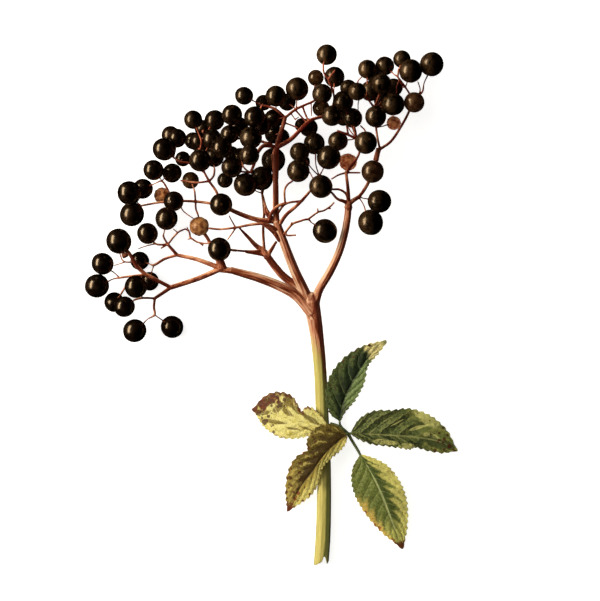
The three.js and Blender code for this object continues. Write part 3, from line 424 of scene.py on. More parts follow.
# Thin twigs, stubs, bare pedicels and the swellings at forks: their spray, then as a stalk.
TWIGS = [
    ["spray_left", 0.32, 0.28, [-33, 19.6], [-35.3, 18.3, 0.2]],
    ["spray_left", 0.28, 0.2, [-37, 19.8, 0.4], [-39.6, 19.2, 0.4], [-42.6, 18.2, 0.2]],
    ["spray_left", 0.6, 0.6, [-16.4, 12, 0.6], [-17.6, 16, -1.6], [-20, 21.2, -1.6], [-21.6, 23.6, -1.2]],
    ["spray_left", 0.32, 0.36, [-27.4, 24.6, -3], [-26.2, 23.8, -2.4], [-25.8, 21.8, -2]],
    ["spray_left", 0.36, 0.24, [-25.8, 21.8, -2], [-23.6, 20.4, -1.6], [-21.8, 20, -1.6], [-19, 19.8, -1]],
    ["spray_left", 0.26, 0.32, [-22.8, 20.1, -1.6], [-21.6, 19.2, -1.2]],
    ["spray_left", 1.05, 0.75, [-15.9, 12, 0.5], [-16, 14.6, 0.3]],
    ["spray_left", 0.3, 0.24, [-43.9, 13.9, 1.6], [-47.2, 14.2, 0.9], [-48.5, 16.8, 0.4]],
    ["spray_left", 0.24, 0.2, [-46.6, 14, 1], [-50.3, 12.8, 0.6]],
    ["spray_left", 0.24, 0.2, [-29.8, 23.4, -2], [-31.3, 24.6, -1.6]],
    ["spray_left", 0.26, 0.2, [-26.2, 23.8, -2.4], [-26.9, 25.3, -2]],
    ["spray_left", 0.26, 0.2, [-25.5, 21.5, -1.9], [-26.7, 21.2, -1.6]],
    ["spray_low", 0.3, 0.22, [-11.2, 25, 1.3], [-12.5, 27.3, 1.1], [-13.3, 28.8, 1.2]],
    ["spray_low", 0.32, 0.24, [-11, 25, 1.3], [-12.2, 23.2, 1.2], [-13.8, 21, 1.4]],
    [
        "spray_centre_left", 0.26, 0.22, [-29.4, 33.2, -0.6], [-28.2, 30.6, -0.6], [-26.8, 29.3, -0.6],
        [-24.6, 27.8, -0.6],
    ],
    ["spray_centre_left", 0.32, 0.26, [-23.4, 29.6, -0.2], [-23, 28.2, -0.4], [-22.9, 27, -0.4]],
    ["spray_back", 0.8, 0.42, [-0.9, 16.2, -4.6], [0.3, 18, -4.8], [1.9, 20.6, -4.4]],
    ["spray_back", 0.36, 0.36, [-9.1, 23.9, -2.6], [-10, 24.9, 0.6]],
    ["spray_back", 1.3, 0.8, [-0.8, 15.4, -4.5], [-2.8, 18.3, -4.9]],
    ["spray_back", 0.85, 0.46, [-1.2, 16.3, -4.6], [-4, 16.7, -4.4], [-8, 17.2, -3]],
    ["spray_back", 0.44, 0.46, [-11, 17.6, -1.1], [-13.6, 17.9, -0.4]],
    ["spray_back", 0.45, 0.5, [-2.6, 35.4, -4.8], [-1.7, 32, -2], [-0.9, 30.2, 0], [0.3, 28.6, 0.2]],
    ["spray_centre_front", 0.62, 0.5, [-0.4, 27, 1.1], [0.4, 29.6, 1.8], [2.6, 31.8, 2.2], [4.8, 32.6, 1.8]],
    ["spray_side", 0.34, 0.32, [4.8, 23.2, 1.1], [5.4, 22.4, 2], [8.2, 22.5, 2.4]],
    ["spray_side", 0.32, 0.26, [6.3, 25, 1.9], [6.8, 26.6, 2.6]],
    ["spray_side", 0.32, 0.26, [15.2, 29.8, 2.2], [15, 31, 2.4]],
    ["spray_side", 0.28, 0.22, [18, 31, 1.5], [19.4, 30.9, 1.6]],
    ["spray_centre", 0.34, 0.28, [8, 62.4, 1.6], [9.6, 60.6, 1.8], [11.4, 58.6, 2.3]],
    ["spray_centre", 0.32, 0.26, [4.3, 58.4, 0.8], [6.6, 57.6, 1], [8.8, 56.6, 1.2]],
    ["spray_centre", 0.45, 0.3, [1.9, 50.4, 0.2], [-0.4, 51.8, 1], [-1.8, 52.2, 1.6]],
    ["spray_centre", 0.26, 0.2, [6.4, 61.6, 1.2], [8, 59.2, 1.5]],
    ["spray_centre", 0.24, 0.2, [7.8, 59.4, 1.5], [9.1, 60.2, 1.4]],
    ["spray_centre", 0.24, 0.2, [13, 64.8, 1.3], [13.1, 60.5, 1.7]],
    ["spray_right", 0.26, 0.22, [47.6, 67.6, 0.2], [48, 69.4, 1], [47.2, 71.9, 1.4]],
    ["spray_right", 0.32, 0.26, [43.2, 70, 1.4], [41.9, 71.2, 2], [40.9, 73.2, 2], [41, 76, 1.6]],
    ["spray_right", 0.28, 0.22, [41.4, 72.2, 2], [40.4, 70, 1.8], [40.5, 68, 1.4]],
    ["spray_right", 0.48, 0.42, [28.6, 51.6, 0.2], [27.2, 53.3, 0.8], [24.2, 54.8, 1.3], [21.2, 55.8, 1.5]],
    ["spray_right", 0.4, 0.28, [24.9, 54.4, 1.2], [24.3, 57.6, 1.2]],
    ["spray_right", 0.36, 0.28, [27.4, 53.2, 0.8], [26.7, 57.4, 1]],
    ["spray_right", 0.34, 0.26, [28.4, 51.8, 0.4], [30.3, 55.6, 0.8], [28.7, 57.6, 0.9]],
    ["spray_right", 0.5, 0.36, [24.9, 33.4, 0.2], [24.2, 35.6, 0.8], [22.2, 37, 1.3], [19.6, 37.1, 1.9]],
    ["spray_right", 0.36, 0.28, [24.2, 42.4, 2.4], [21.8, 41.7, 2.2], [19.4, 40.3, 2]],
    ["spray_right", 0.36, 0.3, [24.2, 42.4, 2.6], [28.8, 42.4, 2.6]],
    ["spray_right", 0.66, 0.46, [24.2, 42.4, 2.8], [25.8, 44.8, 3.2], [27.6, 46.8, 3.1]],
    ["spray_right", 1.4, 0.9, [24.9, 31.2], [25, 33.8]],
    ["spray_right", 0.9, 0.6, [25, 32.6], [28.2, 34.8, -0.4]],
    ["spray_right", 0.75, 0.5, [25, 32.6], [22.4, 33.8, 0.9]],
    ["spray_right", 0.95, 0.8, [33.7, 46.4, -0.5], [34.6, 50.4]],
    ["spray_low", 0.95, 0.55, [3.2, 20.8, 0.2], [1, 23.5, 0.8], [-1.8, 25.7, 1.8]],
    ["spray_left", 0.9, 0.8, [-47.5, 15.8, 1.2], [-46, 16.4, 1.6]],
    ["spray_left", 1.5, 0.95, [-15.4, 11.9, 0.6], [-16.1, 15.2, 0.4]],
    ["spray_centre", 0.75, 0.6, [0.4, 51, 0.8], [-2.3, 50.9, 2], [-4.1, 48.8, 2.6]],
    ["spray_centre_left", 0.85, 0.4, [0.9, 27.6], [-1.1, 29.2], [-1.9, 31.6, -0.6]],
    ["spray_right", 0.45, 0.38, [33.3, 63.2, 0.4], [34.4, 66.2, 2.6], [35.4, 68.6, 3]],
    ["spray_right", 0.24, 0.2, [29.6, 67, 1.6], [28.2, 65.4, 0.8], [28, 62.5, 0.4]],
    ["spray_right", 0.28, 0.22, [29.4, 68, 1.8], [27.9, 71.4, 1.4], [29.3, 73.3, 1.2]],
]

# The web between the middle and the right ray, as a ray that stops short.
CROTCH = [1.9, 1.15, [13.2, 0, 0.3], [13.1, 2.4, 0.3], [13.2, 4.2, 0.2]]

# The ragged edge of the cut end, in x and y, and the y that the stem is drawn out from and is cut flat at.
CUT_EDGE = [
    [13.8, -84.1], [15.2, -83.5], [16.6, -82.4], [17.1, -80.9], [17.6, -81.1], [18.1, -83.3], [18.8, -82.4],
]
CUT_FROM = -76
CUT_FLAT = PEDUNCLE[0][1]

# Where the stalk of the leaf runs on into each blade: radii at root and tip, then x, y and z.
BLADE_ROOTS = [
    [0.4, 0.3, [22.2, -38, 7.8], [22.2, -36.8, 8], [22.5, -34.8, 8.1]],
    [0.42, 0.3, [24.8, -41.2, 7.1], [26, -41.1, 6.95], [28.5, -41.2, 6.9]],
    [0.5, 0.34, [28.2, -46.8, 6.1], [28.9, -48.2, 5.8], [30.2, -50.4, 5.8]],
    [0.4, 0.3, [24.8, -41.2, 7.1], [24.4, -41.5, 8], [22.6, -43, 8.7]],
    [0.4, 0.3, [19.6, -38.2, 6.9], [18, -38.6, 7.7], [15.6, -38.3, 7.7]],
]

# Of the berries that dried early, by their x and y: how dry they are, and how rusty where they are dry, which
# on the ripe part also sets how strong the bloom and its painted glow are.
DRY_BERRIES = {
    (-22.8, 25.4): (1.0, 0.1),
    (-35, 35.4): (0.95, 0.3),
    (24.9, 46.1): (0.95, 1.0),
    (39.5, 58.6): (1.0, 0.75),
    (-25.7, 40.2): (0.16, 0.0),
    (46, 65): (0.06, 0.5),
    (32.6, 42.7): (0.03, 0.5),
    (14.5, 73): (0.14, 0.0),
    (16.2, 63.2): (0.08, 0.0),
}


# ---------------------------------------------------------------- shader helper


class Field:
    """A value, colour or vector in a material, which adds its Math nodes as it is worked out."""

    def __init__(self, skin, socket):
        self.skin = skin
        self.socket = socket

    def _maths(self, operation, first, second=None):
        values = [first] if second is None else [first, second]
        return self.skin.node("ShaderNodeMath", {"operation": operation}, dict(enumerate(values)))

    def __add__(self, other):
        return self._maths("ADD", self, other)

    def __sub__(self, other):
        return self._maths("SUBTRACT", self, other)

    def __mul__(self, other):
        return self._maths("MULTIPLY", self, other)

    def __truediv__(self, other):
        return self._maths("DIVIDE", self, other)

    def __rsub__(self, other):
        return self._maths("SUBTRACT", other, self)

    def __pow__(self, other):
        return self._maths("POWER", self, other)

    def __abs__(self):
        return self._maths("ABSOLUTE", self)

    __radd__ = __add__
    __rmul__ = __mul__

    def fraction(self):
        return self._maths("FRACT", self)

    def ramp(self, low, high):
        """0 where the value is at low and 1 where it is at high, turning smoothly between them."""
        settings = {"interpolation_type": "SMOOTHSTEP", "clamp": True}
        values = {"Value": self, "From Min": low, "From Max": high}
        return self.skin.node("ShaderNodeMapRange", settings, values)


class Skin:
    """A material made of nodes, with one method that adds any node."""

    def __init__(self, name):
        self.material = bpy.data.materials.new(name)
        self.material.use_nodes = True
        self.tree = self.material.node_tree
        self.shader = self.tree.nodes["Principled BSDF"]

    def node(self, kind, settings, values, output=0):
        made = self.tree.nodes.new(kind)
        for key, value in settings.items():
            if key == "stops":
                self._set_stops(made.color_ramp, value)
            else:
                setattr(made, key, value)
        for key, value in values.items():
            self.feed(made.inputs[key], value)
        return Field(self, made.outputs[output])

    def _set_stops(self, ramp, stops):
        while len(ramp.elements) < len(stops):
            ramp.elements.new(0.5)
        for element, (position, colour) in zip(ramp.elements, stops):
            element.position = position
            element.color = (*colour, 1.0)

    def feed(self, socket, value):
        if isinstance(value, Field):
            self.tree.links.new(value.socket, socket)
        elif isinstance(value, tuple) and socket.type == "RGBA":
            socket.default_value = (*value, 1.0)
        else:
            socket.default_value = value

    def mix(self, share, first, second):
        settings = {"data_type": "RGBA"}
        return self.node("ShaderNodeMix", settings, {0: share, 6: first, 7: second}, 2)

    def place(self):
        """Object coordinates in millimetres."""
        here = self.node("ShaderNodeTexCoord", {}, {}, "Object")
        return self.node("ShaderNodeVectorMath", {"operation": "SCALE"}, {0: here, "Scale": 1 / MM})

    def facing(self):
        """The way the surface faces, as three numbers."""
        return self.parts(self.node("ShaderNodeTexCoord", {}, {}, "Normal"))

    def attribute(self, name, output):
        return self.node("ShaderNodeAttribute", {"attribute_name": name}, {}, output)

    def parts(self, vector):
        split = self.node("ShaderNodeSeparateXYZ", {}, {0: vector})
        return [Field(self, split.socket.node.outputs[axis]) for axis in range(3)]

    def vector(self, x, y, z):
        return self.node("ShaderNodeCombineXYZ", {}, {0: x, 1: y, 2: z})

    def cloud(self, where, scale, detail=3.0, roughness=0.55):
        """Noise between about 0.2 and 0.8, scale times finer than the place it reads."""
        values = {"Vector": where, "Scale": scale, "Detail": detail, "Roughness": roughness}
        return self.node("ShaderNodeTexNoise", {}, values, 0)

    def finish(self, colour, roughness, height=None, strength=0.3, distance=0.1, **constants):
        self.feed(self.shader.inputs["Base Color"], colour)
        self.feed(self.shader.inputs["Roughness"], roughness)
        if height is not None:
            values = {"Height": height, "Strength": strength, "Distance": distance * MM}
            self.feed(self.shader.inputs["Normal"], self.node("ShaderNodeBump", {}, values))
        for key, value in constants.items():
            self.shader.inputs[key.replace("_", " ")].default_value = value
        return self.material


def paint(red, green, blue):
    """A display colour from 0 to 255, as the linear colour that a shader takes."""
    channels = (value / 255 for value in (red, green, blue))
    return tuple(c / 12.92 if c <= 0.04045 else ((c + 0.055) / 1.055) ** 2.4 for c in channels)


# ---------------------------------------------------------------- the plan of the plant


def within(value, low=0.0, high=1.0):
    return min(high, max(low, value))


def dome_height(x, y):
    across = (x - DOME["x"]) / DOME["reach_x"]
    along = (y - DOME["y"]) / DOME["reach_y"]
    return DOME["base"] + DOME["rise"] * max(0, 1 - across * across - along * along)


def over_dome(point):
    """The x, y and z of a point that is given by x, y and its height above the dome."""
    x, y, *height = point
    return x, y, dome_height(x, y) + sum(height)


def on_dome(point):
    return Vector(over_dome(point))


def stretches_of(stalks, owner):
    """Where each stalk runs straight from one of its points to the next."""
    found = []
    for root_radius, _, *points in stalks:
        for start, end in zip(points, points[1:]):
            ends = {"a": over_dome(start), "b": over_dome(end)}
            found.append({**ends, "radius": root_radius, "owner": owner})
    return found


def supports_of(berry, stretches):
    """The stretches that the berry could touch: their height beside it, and how far it must be from that."""
    found = []
    for stretch in stretches:
        a, b = stretch["a"], stretch["b"]
        dx, dy = b[0] - a[0], b[1] - a[1]
        share = ((berry["x"] - a[0]) * dx + (berry["y"] - a[1]) * dy) / (dx * dx + dy * dy)
        t = within(share)
        near = (a[0] + t * dx, a[1] + t * dy, a[2] + t * (b[2] - a[2]))
        room = berry["radius"] + stretch["radius"] + BERRY_GAP
        off_x, off_y = berry["x"] - near[0], berry["y"] - near[1]
        short = room * room - off_x * off_x - off_y * off_y
        fork = berry["fork"]
        is_root = abs(near[0] - fork[0]) + abs(near[1] - fork[1]) < FORK_REACH
        if short > 0 and not (is_root and stretch["owner"] == berry["owner"]):
            found.append((near[2], math.sqrt(short)))
    return found


def overlapping_pairs(berries):
    """The berries that overlap in plan, two by two, and how far apart in height they must be."""
    pairs = []
    for i, first in enumerate(berries):
        for second in berries[i + 1 :]:
            room = first["radius"] + second["radius"] + BERRY_GAP
            dx, dy = first["x"] - second["x"], first["y"] - second["y"]
            short = room * room - dx * dx - dy * dy
            if short > 0:
                pairs.append((first, second, math.sqrt(short)))
    return pairs


def half_push(rise, apart):
    """Half of the move, up or down, that takes a height difference of rise to at least apart."""
    lack = max(0, apart - abs(rise))
    return (-lack if rise < 0 else lack) / 2


def settled_berries():
    """Every berry starts at its layer's height. Those that would touch a neighbour or a stalk then move
    apart, up and down only, and none goes below the table.
    """
    berries = []
    stretches = stretches_of(RAYS, "stem")
    for owner, spray in SPRAYS.items():
        stretches += stretches_of(spray["stalks"], owner)
        for fork, *carried in spray["forks"]:
            root = over_dome(fork)
            for x, y, layer, diameter in carried:
                z = dome_height(x, y) + layer * LAYER
                berries.append({"owner": owner, "fork": root, "x": x, "y": y, "z": z, "radius": diameter / 2})
    supports = [supports_of(berry, stretches) for berry in berries]
    pairs = overlapping_pairs(berries)
    for _ in range(SETTLE_ROUNDS):
        for berry, held in zip(berries, supports):
            for height, apart in held:
                berry["z"] += half_push(berry["z"] - height, apart)
        for first, second, apart in pairs:
            push = half_push(first["z"] - second["z"], apart)
            first["z"] += push
            second["z"] -= push
        for berry in berries:
            berry["z"] = max(berry["z"], berry["radius"] * FACET_REACH)
    return berries


def smooth_route(points, pieces):
    """Points on a smooth line through the given ones, with the share of the way that each is along them."""
    slopes = []
    for i, point in enumerate(points):
        before, after = points[max(i - 1, 0)], points[min(i + 1, len(points) - 1)]
        slopes.append((after - before) / ((point - before).length + (after - point).length))
    route = []
    for i in range(len(points) - 1):
        length = (points[i + 1] - points[i]).length
        for k in range(pieces):
            t = k / pieces
            start = points[i] * (2 * t**3 - 3 * t**2 + 1) + slopes[i] * length * (t**3 - 2 * t**2 + t)
            end = points[i + 1] * (3 * t**2 - 2 * t**3) + slopes[i + 1] * length * (t**3 - t**2)
            route.append((start + end, (i + t) / (len(points) - 1)))
    route.append((points[-1], 1.0))
    return route


def radius_at(radii, share):
    at = share * (len(radii) - 1)
    low = min(int(at), len(radii) - 2)
    return radii[low] + (radii[low + 1] - radii[low]) * (at - low)


def stalk_along(points, radii):
    """A stalk as its places and radii on a smooth line, with the given radii spread evenly over it."""
    return [(place, radius_at(radii, share)) for place, share in smooth_route(points, STALK_PIECES)]


def stalk_from(row, placed):
    """A stalk from its row in a table, with each of its points placed by the given function."""
    root_radius, tip_radius, *points = row
    return stalk_along([placed(point) for point in points], (root_radius, tip_radius))


# ---------------------------------------------------------------- meshes


def put_in_scene(name, mesh):
    piece = bpy.data.objects.new(name, mesh)
    bpy.context.scene.collection.objects.link(piece)
    return piece


def dress(piece, material, slot, *nodes):
    """Gives a piece its finish, the body that it rides on and the solids that it stands for."""
    piece.data.materials.clear()
    piece.data.materials.append(material)
    for polygon in piece.data.polygons:
        polygon.use_smooth = True
    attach(piece, BODY)
    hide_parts(*nodes)


def as_finished(piece):
    """A new mesh of the piece, with its bevel or its modifiers applied."""
    bpy.context.view_layer.update()
    return bpy.data.meshes.new_from_object(piece.evaluated_get(bpy.context.evaluated_depsgraph_get()))


def tubes_along(name, routes):
    """A mesh of one round tube along each route."""
    curve = bpy.data.curves.new(name, "CURVE")
    curve.dimensions = "3D"
    curve.bevel_depth = MM
    curve.bevel_resolution = 3
    curve.use_fill_caps = True
    for route in routes:
        spline = curve.splines.new("POLY")
        spline.points.add(len(route) - 1)
        for point, (place, radius) in zip(spline.points, route):
            point.co = (*(place * MM), 1.0)
            point.radius = radius
    source = put_in_scene(name + "_route", curve)
    tubes = as_finished(source)
    bpy.data.objects.remove(source)
    return tubes


def grown_together(name, routes, voxel):
    """One skin round all the stalks, where each melts into its neighbours."""
    piece = put_in_scene(name, tubes_along(name, routes))
    remesh = piece.modifiers.new("grow_together", "REMESH")
    remesh.mode = "VOXEL"
    remesh.voxel_size = voxel * MM
    whole = as_finished(piece)
    piece.modifiers.clear()
    piece.data = whole
    skin = bmesh.new()
    skin.from_mesh(whole)
    for _ in range(SKIN_SMOOTHINGS):
        axes = {"use_axis_x": True, "use_axis_y": True, "use_axis_z": True}
        bmesh.ops.smooth_vert(skin, verts=skin.verts, factor=0.5, **axes)
    for vert in skin.verts:
        vert.co.z = max(vert.co.z, 0.0)
    skin.to_mesh(whole)
    skin.free()
    return piece


def add_grain(piece, routes):
    """Gives each vertex its place on the nearest stalk, round it and along it, for streaks that follow it."""
    centres = []
    for route in routes:
        travelled = 0.0
        for i, (place, _) in enumerate(route):
            if i:
                travelled += (place - route[i - 1][0]).length
            ahead = route[min(i + 1, len(route) - 1)][0] - route[max(i - 1, 0)][0]
            centres.append((place, ahead.normalized(), travelled))
    tree = KDTree(len(centres))
    for index, (place, *_) in enumerate(centres):
        tree.insert(place, index)
    tree.balance()
    grain = piece.data.attributes.new("grain", "FLOAT_VECTOR", "POINT")
    for vert in piece.data.vertices:
        here = vert.co / MM
        _, index, _ = tree.find(here)
        place, ahead, travelled = centres[index]
        out = here - place
        along = travelled + out.dot(ahead)
        side = ahead.cross(Vector((0, 0, 1))).normalized()
        up = side.cross(ahead)
        grain.data[vert.index].vector = (out.dot(side), out.dot(up), along)


def stem_routes():
    places = [Vector(station[:3]) for station in PEDUNCLE]
    radii = [station[3] for station in PEDUNCLE]
    return [stalk_along(places, radii), *(stalk_from(row, on_dome) for row in [*RAYS, CROTCH])]


def pedicel_points(berry, start, draw):
    """From the fork to just inside the berry, with a slight bow."""
    middle = Vector((berry["x"], berry["y"], berry["z"]))
    way = middle - start
    tip = middle - way.normalized() * berry["radius"] * (1 - PEDICEL_SINK)
    bow = way.cross(Vector((0, 0, 1))) * draw.uniform(-PEDICEL_BOW, PEDICEL_BOW)
    return [start.lerp(tip, 0.5) + bow, tip]


def spray_routes(name, berries):
    """The stalks of a spray. One that ends at a fork runs on to the first berry there."""
    draw = random.Random(name)
    waiting = [berry for berry in berries if berry["owner"] == name]
    routes = []
    for root_radius, tip_radius, *route in SPRAYS[name]["stalks"]:
        points = [on_dome(point) for point in route]
        radii = [root_radius + (tip_radius - root_radius) * i / (len(points) - 1) for i in range(len(points))]
        first = next((b for b in waiting if (Vector(b["fork"]) - points[-1]).length < SAME_PLACE), None)
        if first:
            waiting.remove(first)
            points += pedicel_points(first, points[-1], draw)
            radii += PEDICEL_RADII[1:]
        routes.append(stalk_along(points, radii))
    routes += [stalk_from(row, on_dome) for owner, *row in TWIGS if owner == name]
    for berry in waiting:
        start = Vector(berry["fork"])
        routes.append(stalk_along([start, *pedicel_points(berry, start, draw)], PEDICEL_RADII))
    return routes


def shape_berry(co, dryness, seed):
    """A point of the unit ball as that of a berry whose pedicel is at -Z and whose crown scar is at +Z."""
    polar = math.degrees(math.acos(within(co.z, -1.0)))
    reach = 1.0
    if polar < SCAR["edge"]:
        lobes = 0.75 + 0.25 * math.cos(SCAR["lobes"] * math.atan2(co.y, co.x))
        ring = math.exp(-(((polar - SCAR["ring"]) / SCAR["width"]) ** 2)) * lobes
        eye = math.exp(-((polar / SCAR["eye"]) ** 2))
        reach += SCAR["rise"] * ring - SCAR["eye_depth"] * eye
    if polar > HOLLOW["edge"]:
        reach -= HOLLOW["depth"] * ((polar - HOLLOW["edge"]) / (180 - HOLLOW["edge"])) ** 2
    reach += BERRY_UNEVENNESS * noise.noise(co * 1.6 + seed)
    if dryness > SHRIVELLED:
        reach += dryness * (0.11 * noise.noise(co * 2.6 + seed) - 0.02)  # broad dents
        reach += dryness * 0.035 * noise.noise(co * 7.0 + seed)  # and wrinkles
    return Vector((co.x * reach, co.y * reach, co.z * reach * BERRY_LENGTH))


def bloom_on(berry, draw):
    """How much waxy bloom a berry has, which also sets how strong the painted glow on its lit side is: more
    towards the top right of the head.
    """
    far_right = within((berry["x"] + 25) / 60)
    high = within((berry["y"] - 18) / 20)
    return (draw.uniform(0.0, 0.45) + 0.55 * far_right) * (0.3 + 0.7 * high)


def ring_angle(ring):
    """The polar angle of a berry's ring, in degrees. The rings are close together at the crown scar."""
    last = len(RING_ANGLES) - 1
    if ring <= last:
        return RING_ANGLES[ring]
    return RING_ANGLES[last] + (180 - RING_ANGLES[last]) * (ring - last) / (BERRY_RINGS - last)


def add_berry(skin, berry, draw):
    """One berry in the mesh of its spray, turned so that its pedicel meets it squarely."""
    middle = Vector((berry["x"], berry["y"], berry["z"]))
    size = berry["radius"] * BERRY_FULLNESS
    ahead = (middle - Vector(berry["fork"])).normalized()
    turn = ahead.to_track_quat("Z", "Y").to_matrix() @ Matrix.Rotation(draw.uniform(0, math.tau), 3, "Z")
    dryness, tint = DRY_BERRIES.get((berry["x"], berry["y"]), (0.0, bloom_on(berry, draw)))
    seed = Vector((draw.uniform(0, 50), draw.uniform(0, 50), draw.uniform(0, 50)))
    form = {"u_segments": BERRY_SEGMENTS, "v_segments": BERRY_RINGS, "radius": 1.0}
    made = bmesh.ops.create_uvsphere(skin, **form)["verts"]
    own_place = skin.verts.layers.float_vector["own_place"]
    ripeness = skin.verts.layers.float_vector["ripeness"]
    for vert in made:
        ring = round(math.acos(within(vert.co.z, -1.0)) / math.pi * BERRY_RINGS)
        polar = math.radians(ring_angle(ring))
        around = math.atan2(vert.co.y, vert.co.x)
        flat = math.sin(polar)
        unit = Vector((flat * math.cos(around), flat * math.sin(around), math.cos(polar)))
        vert[own_place] = unit + seed
        vert[ripeness] = (dryness, tint, unit.z)
        vert.co = turn @ shape_berry(unit, dryness, seed) * size + middle
        vert.co.z = max(vert.co.z, 0.0)


def berry_mesh(name, berries):
    draw = random.Random(name + "_berries")
    skin = bmesh.new()
    skin.verts.layers.float_vector.new("own_place")
    skin.verts.layers.float_vector.new("ripeness")
    for berry in berries:
        if berry["owner"] == name:
            add_berry(skin, berry, draw)
    bmesh.ops.scale(skin, vec=(MM, MM, MM), verts=skin.verts)
    bmesh.ops.recalc_face_normals(skin, faces=skin.faces)
    mesh = bpy.data.meshes.new(name + "_berries")
    skin.to_mesh(mesh)
    skin.free()
    return mesh


# ---------------------------------------------------------------- leaflets


def spline_point(points, share):
    """A place on the smooth line through the points, by its share of the way along them."""
    at = min(share, 1.0) * (len(points) - 1)
    i = min(int(at), len(points) - 2)
    t = at - i
    p0, p1, p2, p3 = (points[max(0, min(k, len(points) - 1))] for k in (i - 1, i, i + 1, i + 2))
    bend = (2 * p0 - 5 * p1 + 4 * p2 - p3) * t**2 + (3 * p1 - p0 - 3 * p2 + p3) * t**3
    return 0.5 * (2 * p1 + (p2 - p0) * t + bend)


def tooth(share, teeth):
    """How far a toothed margin stands out, from 0 in the notch to 1 at the point, which leans to the tip."""
    phase = (share * teeth) % 1.0
    return phase / TOOTH_LEAN if phase < TOOTH_LEAN else (1 - phase) / (1 - TOOTH_LEAN)


def blade_relief(form, side, reach, share):
    """How far a blade is quilted between its side veins, grooved over its midrib and waved at its margin."""
    phase = (share - form["lean"] * reach**1.25) * form["veins"]
    furrow = abs(phase - round(phase)) * 2  # 0 on a side vein, 1 half-way between two
    puff = form["puff"] * (furrow**0.8 - 0.5) * min(1, reach * 4) * min(1, (1 - reach) * 3)
    rib = -RIB_DEPTH * math.exp(-((reach * RIB_SHARPNESS) ** 2))
    wave = form["wave"] * reach**2 * math.sin(share * form["waves"] * math.tau + side)
    return puff + rib + wave


def blade_point(midrib, margins, form, seed, across, share):
    """A point of a blade, from -1 to 1 across it and from 0 to 1 along it."""
    side = -1 if across > 0 else 1
    reach = abs(across)
    ahead = spline_point(midrib, min(share + 0.01, 1.0)) - spline_point(midrib, max(share - 0.01, 0.0))
    outward = Vector((-ahead.y, ahead.x, 0)).normalized() * side
    toothed = min(1, 8 * share, 10 * (1 - share))  # the teeth fade out towards both ends
    cut = TOOTH_DEPTH * (tooth(share, form["teeth"]) - 0.5)
    margin = spline_point(margins[side], share)
    margin += outward * (BLADE_END + toothed * (cut - BLADE_END))
    point = spline_point(midrib, share).lerp(margin, reach)
    drawn = max(0.0, (share - POINT_FROM) / (1 - POINT_FROM)) ** 2 * (1 - reach * 0.6)
    point += ahead.normalized() * POINT_REACH * drawn
    uneven = BLADE_UNEVENNESS * noise.noise(point * 0.9 + seed)
    point.z += (blade_relief(form, side, reach, share) + uneven) * min(1, 6 * share, 8 * (1 - share))
    point.z = max(point.z, BLADE_THICKNESS / 2)
    return point


def leaflet_mesh(name):
    midrib, left, right = ([Vector(p) for p in LEAFLETS[name][line]] for line in ("midrib", "left", "right"))
    form = BLADE_FORMS[name]
    seed = Vector((len(name), sum(map(ord, name)) % 37, 3.0))
    blade = bmesh.new()
    uv = blade.loops.layers.uv.new("blade")
    bmesh.ops.create_grid(blade, x_segments=BLADE_COLUMNS, y_segments=BLADE_ROWS, size=1.0)
    places = {}
    for vert in blade.verts:
        across, share = vert.co.x, (vert.co.y + 1) / 2
        places[vert.index] = (across, share)
        vert.co = blade_point(midrib, {1: left, -1: right}, form, seed, across, share)
    for face in blade.faces:
        for loop in face.loops:
            across, share = places[loop.vert.index]
            loop[uv].uv = (across / 2 + 0.5, share)
    bmesh.ops.scale(blade, vec=(MM, MM, MM), verts=blade.verts)
    mesh = bpy.data.meshes.new(name)
    blade.to_mesh(mesh)
    blade.free()
    return mesh


def make_leaflet(name, material, slot):
    piece = put_in_scene(name + "_blade", leaflet_mesh(name))
    wall = piece.modifiers.new("thickness", "SOLIDIFY")
    wall.thickness = BLADE_THICKNESS * MM
    wall.offset = 0
    dress(piece, material, slot, name)


# ---------------------------------------------------------------- finishes of the stalks and berries


def streaks_along(skin, fineness, stretch):
    """Noise drawn out along the stalks."""
    x, y, along = skin.parts(skin.attribute("grain", 1))
    return skin.cloud(skin.vector(x * fineness, y * fineness, along * stretch), 1.0, 4.0, 0.6)


def spray_stalk_skin():
    """Thin stalks: tan on the upper left and deep red-brown on the other flank, partly their own colour and
    partly painted light and shade from the upper left, and redder high in the head.
    """
    skin = Skin("spray_stalk_skin")
    grain = streaks_along(skin, 2.6, 0.3)
    blotch = skin.cloud(skin.place(), 0.22, 3.0)
    _, y, _ = skin.parts(skin.place())
    nx, ny, _ = skin.facing()
    streak = grain.ramp(0.34, 0.66) * 0.8 - 0.4
    # painted light and shade: aside is low on the side toward the light at the upper left, which is painted
    # tan, and high on the far flank, which is painted deep red-brown; the red mix is shaded the same way
    aside = nx * 0.6 - ny * 0.6 + streak + (blotch - 0.5) * 2.8 + 0.42
    bark = skin.mix(aside.ramp(-0.6, 0.05), paint(216, 164, 124), paint(158, 90, 60))
    bark = skin.mix(aside.ramp(0.05, 0.65), bark, paint(78, 24, 10))
    red = skin.mix(aside.ramp(-0.5, 0.5), paint(190, 100, 70), paint(88, 20, 10))
    outward = (y + blotch * 30.0).ramp(34.0, 72.0)
    colour = skin.mix(outward * 0.8, bark, red)
    sheen = {"Specular_IOR_Level": 0.2, "Specular_Tint": (1.0, 0.76, 0.6, 1.0)}
    return skin.finish(colour, grain * 0.2 + 0.4, grain, strength=0.3, distance=0.1, **sheen)


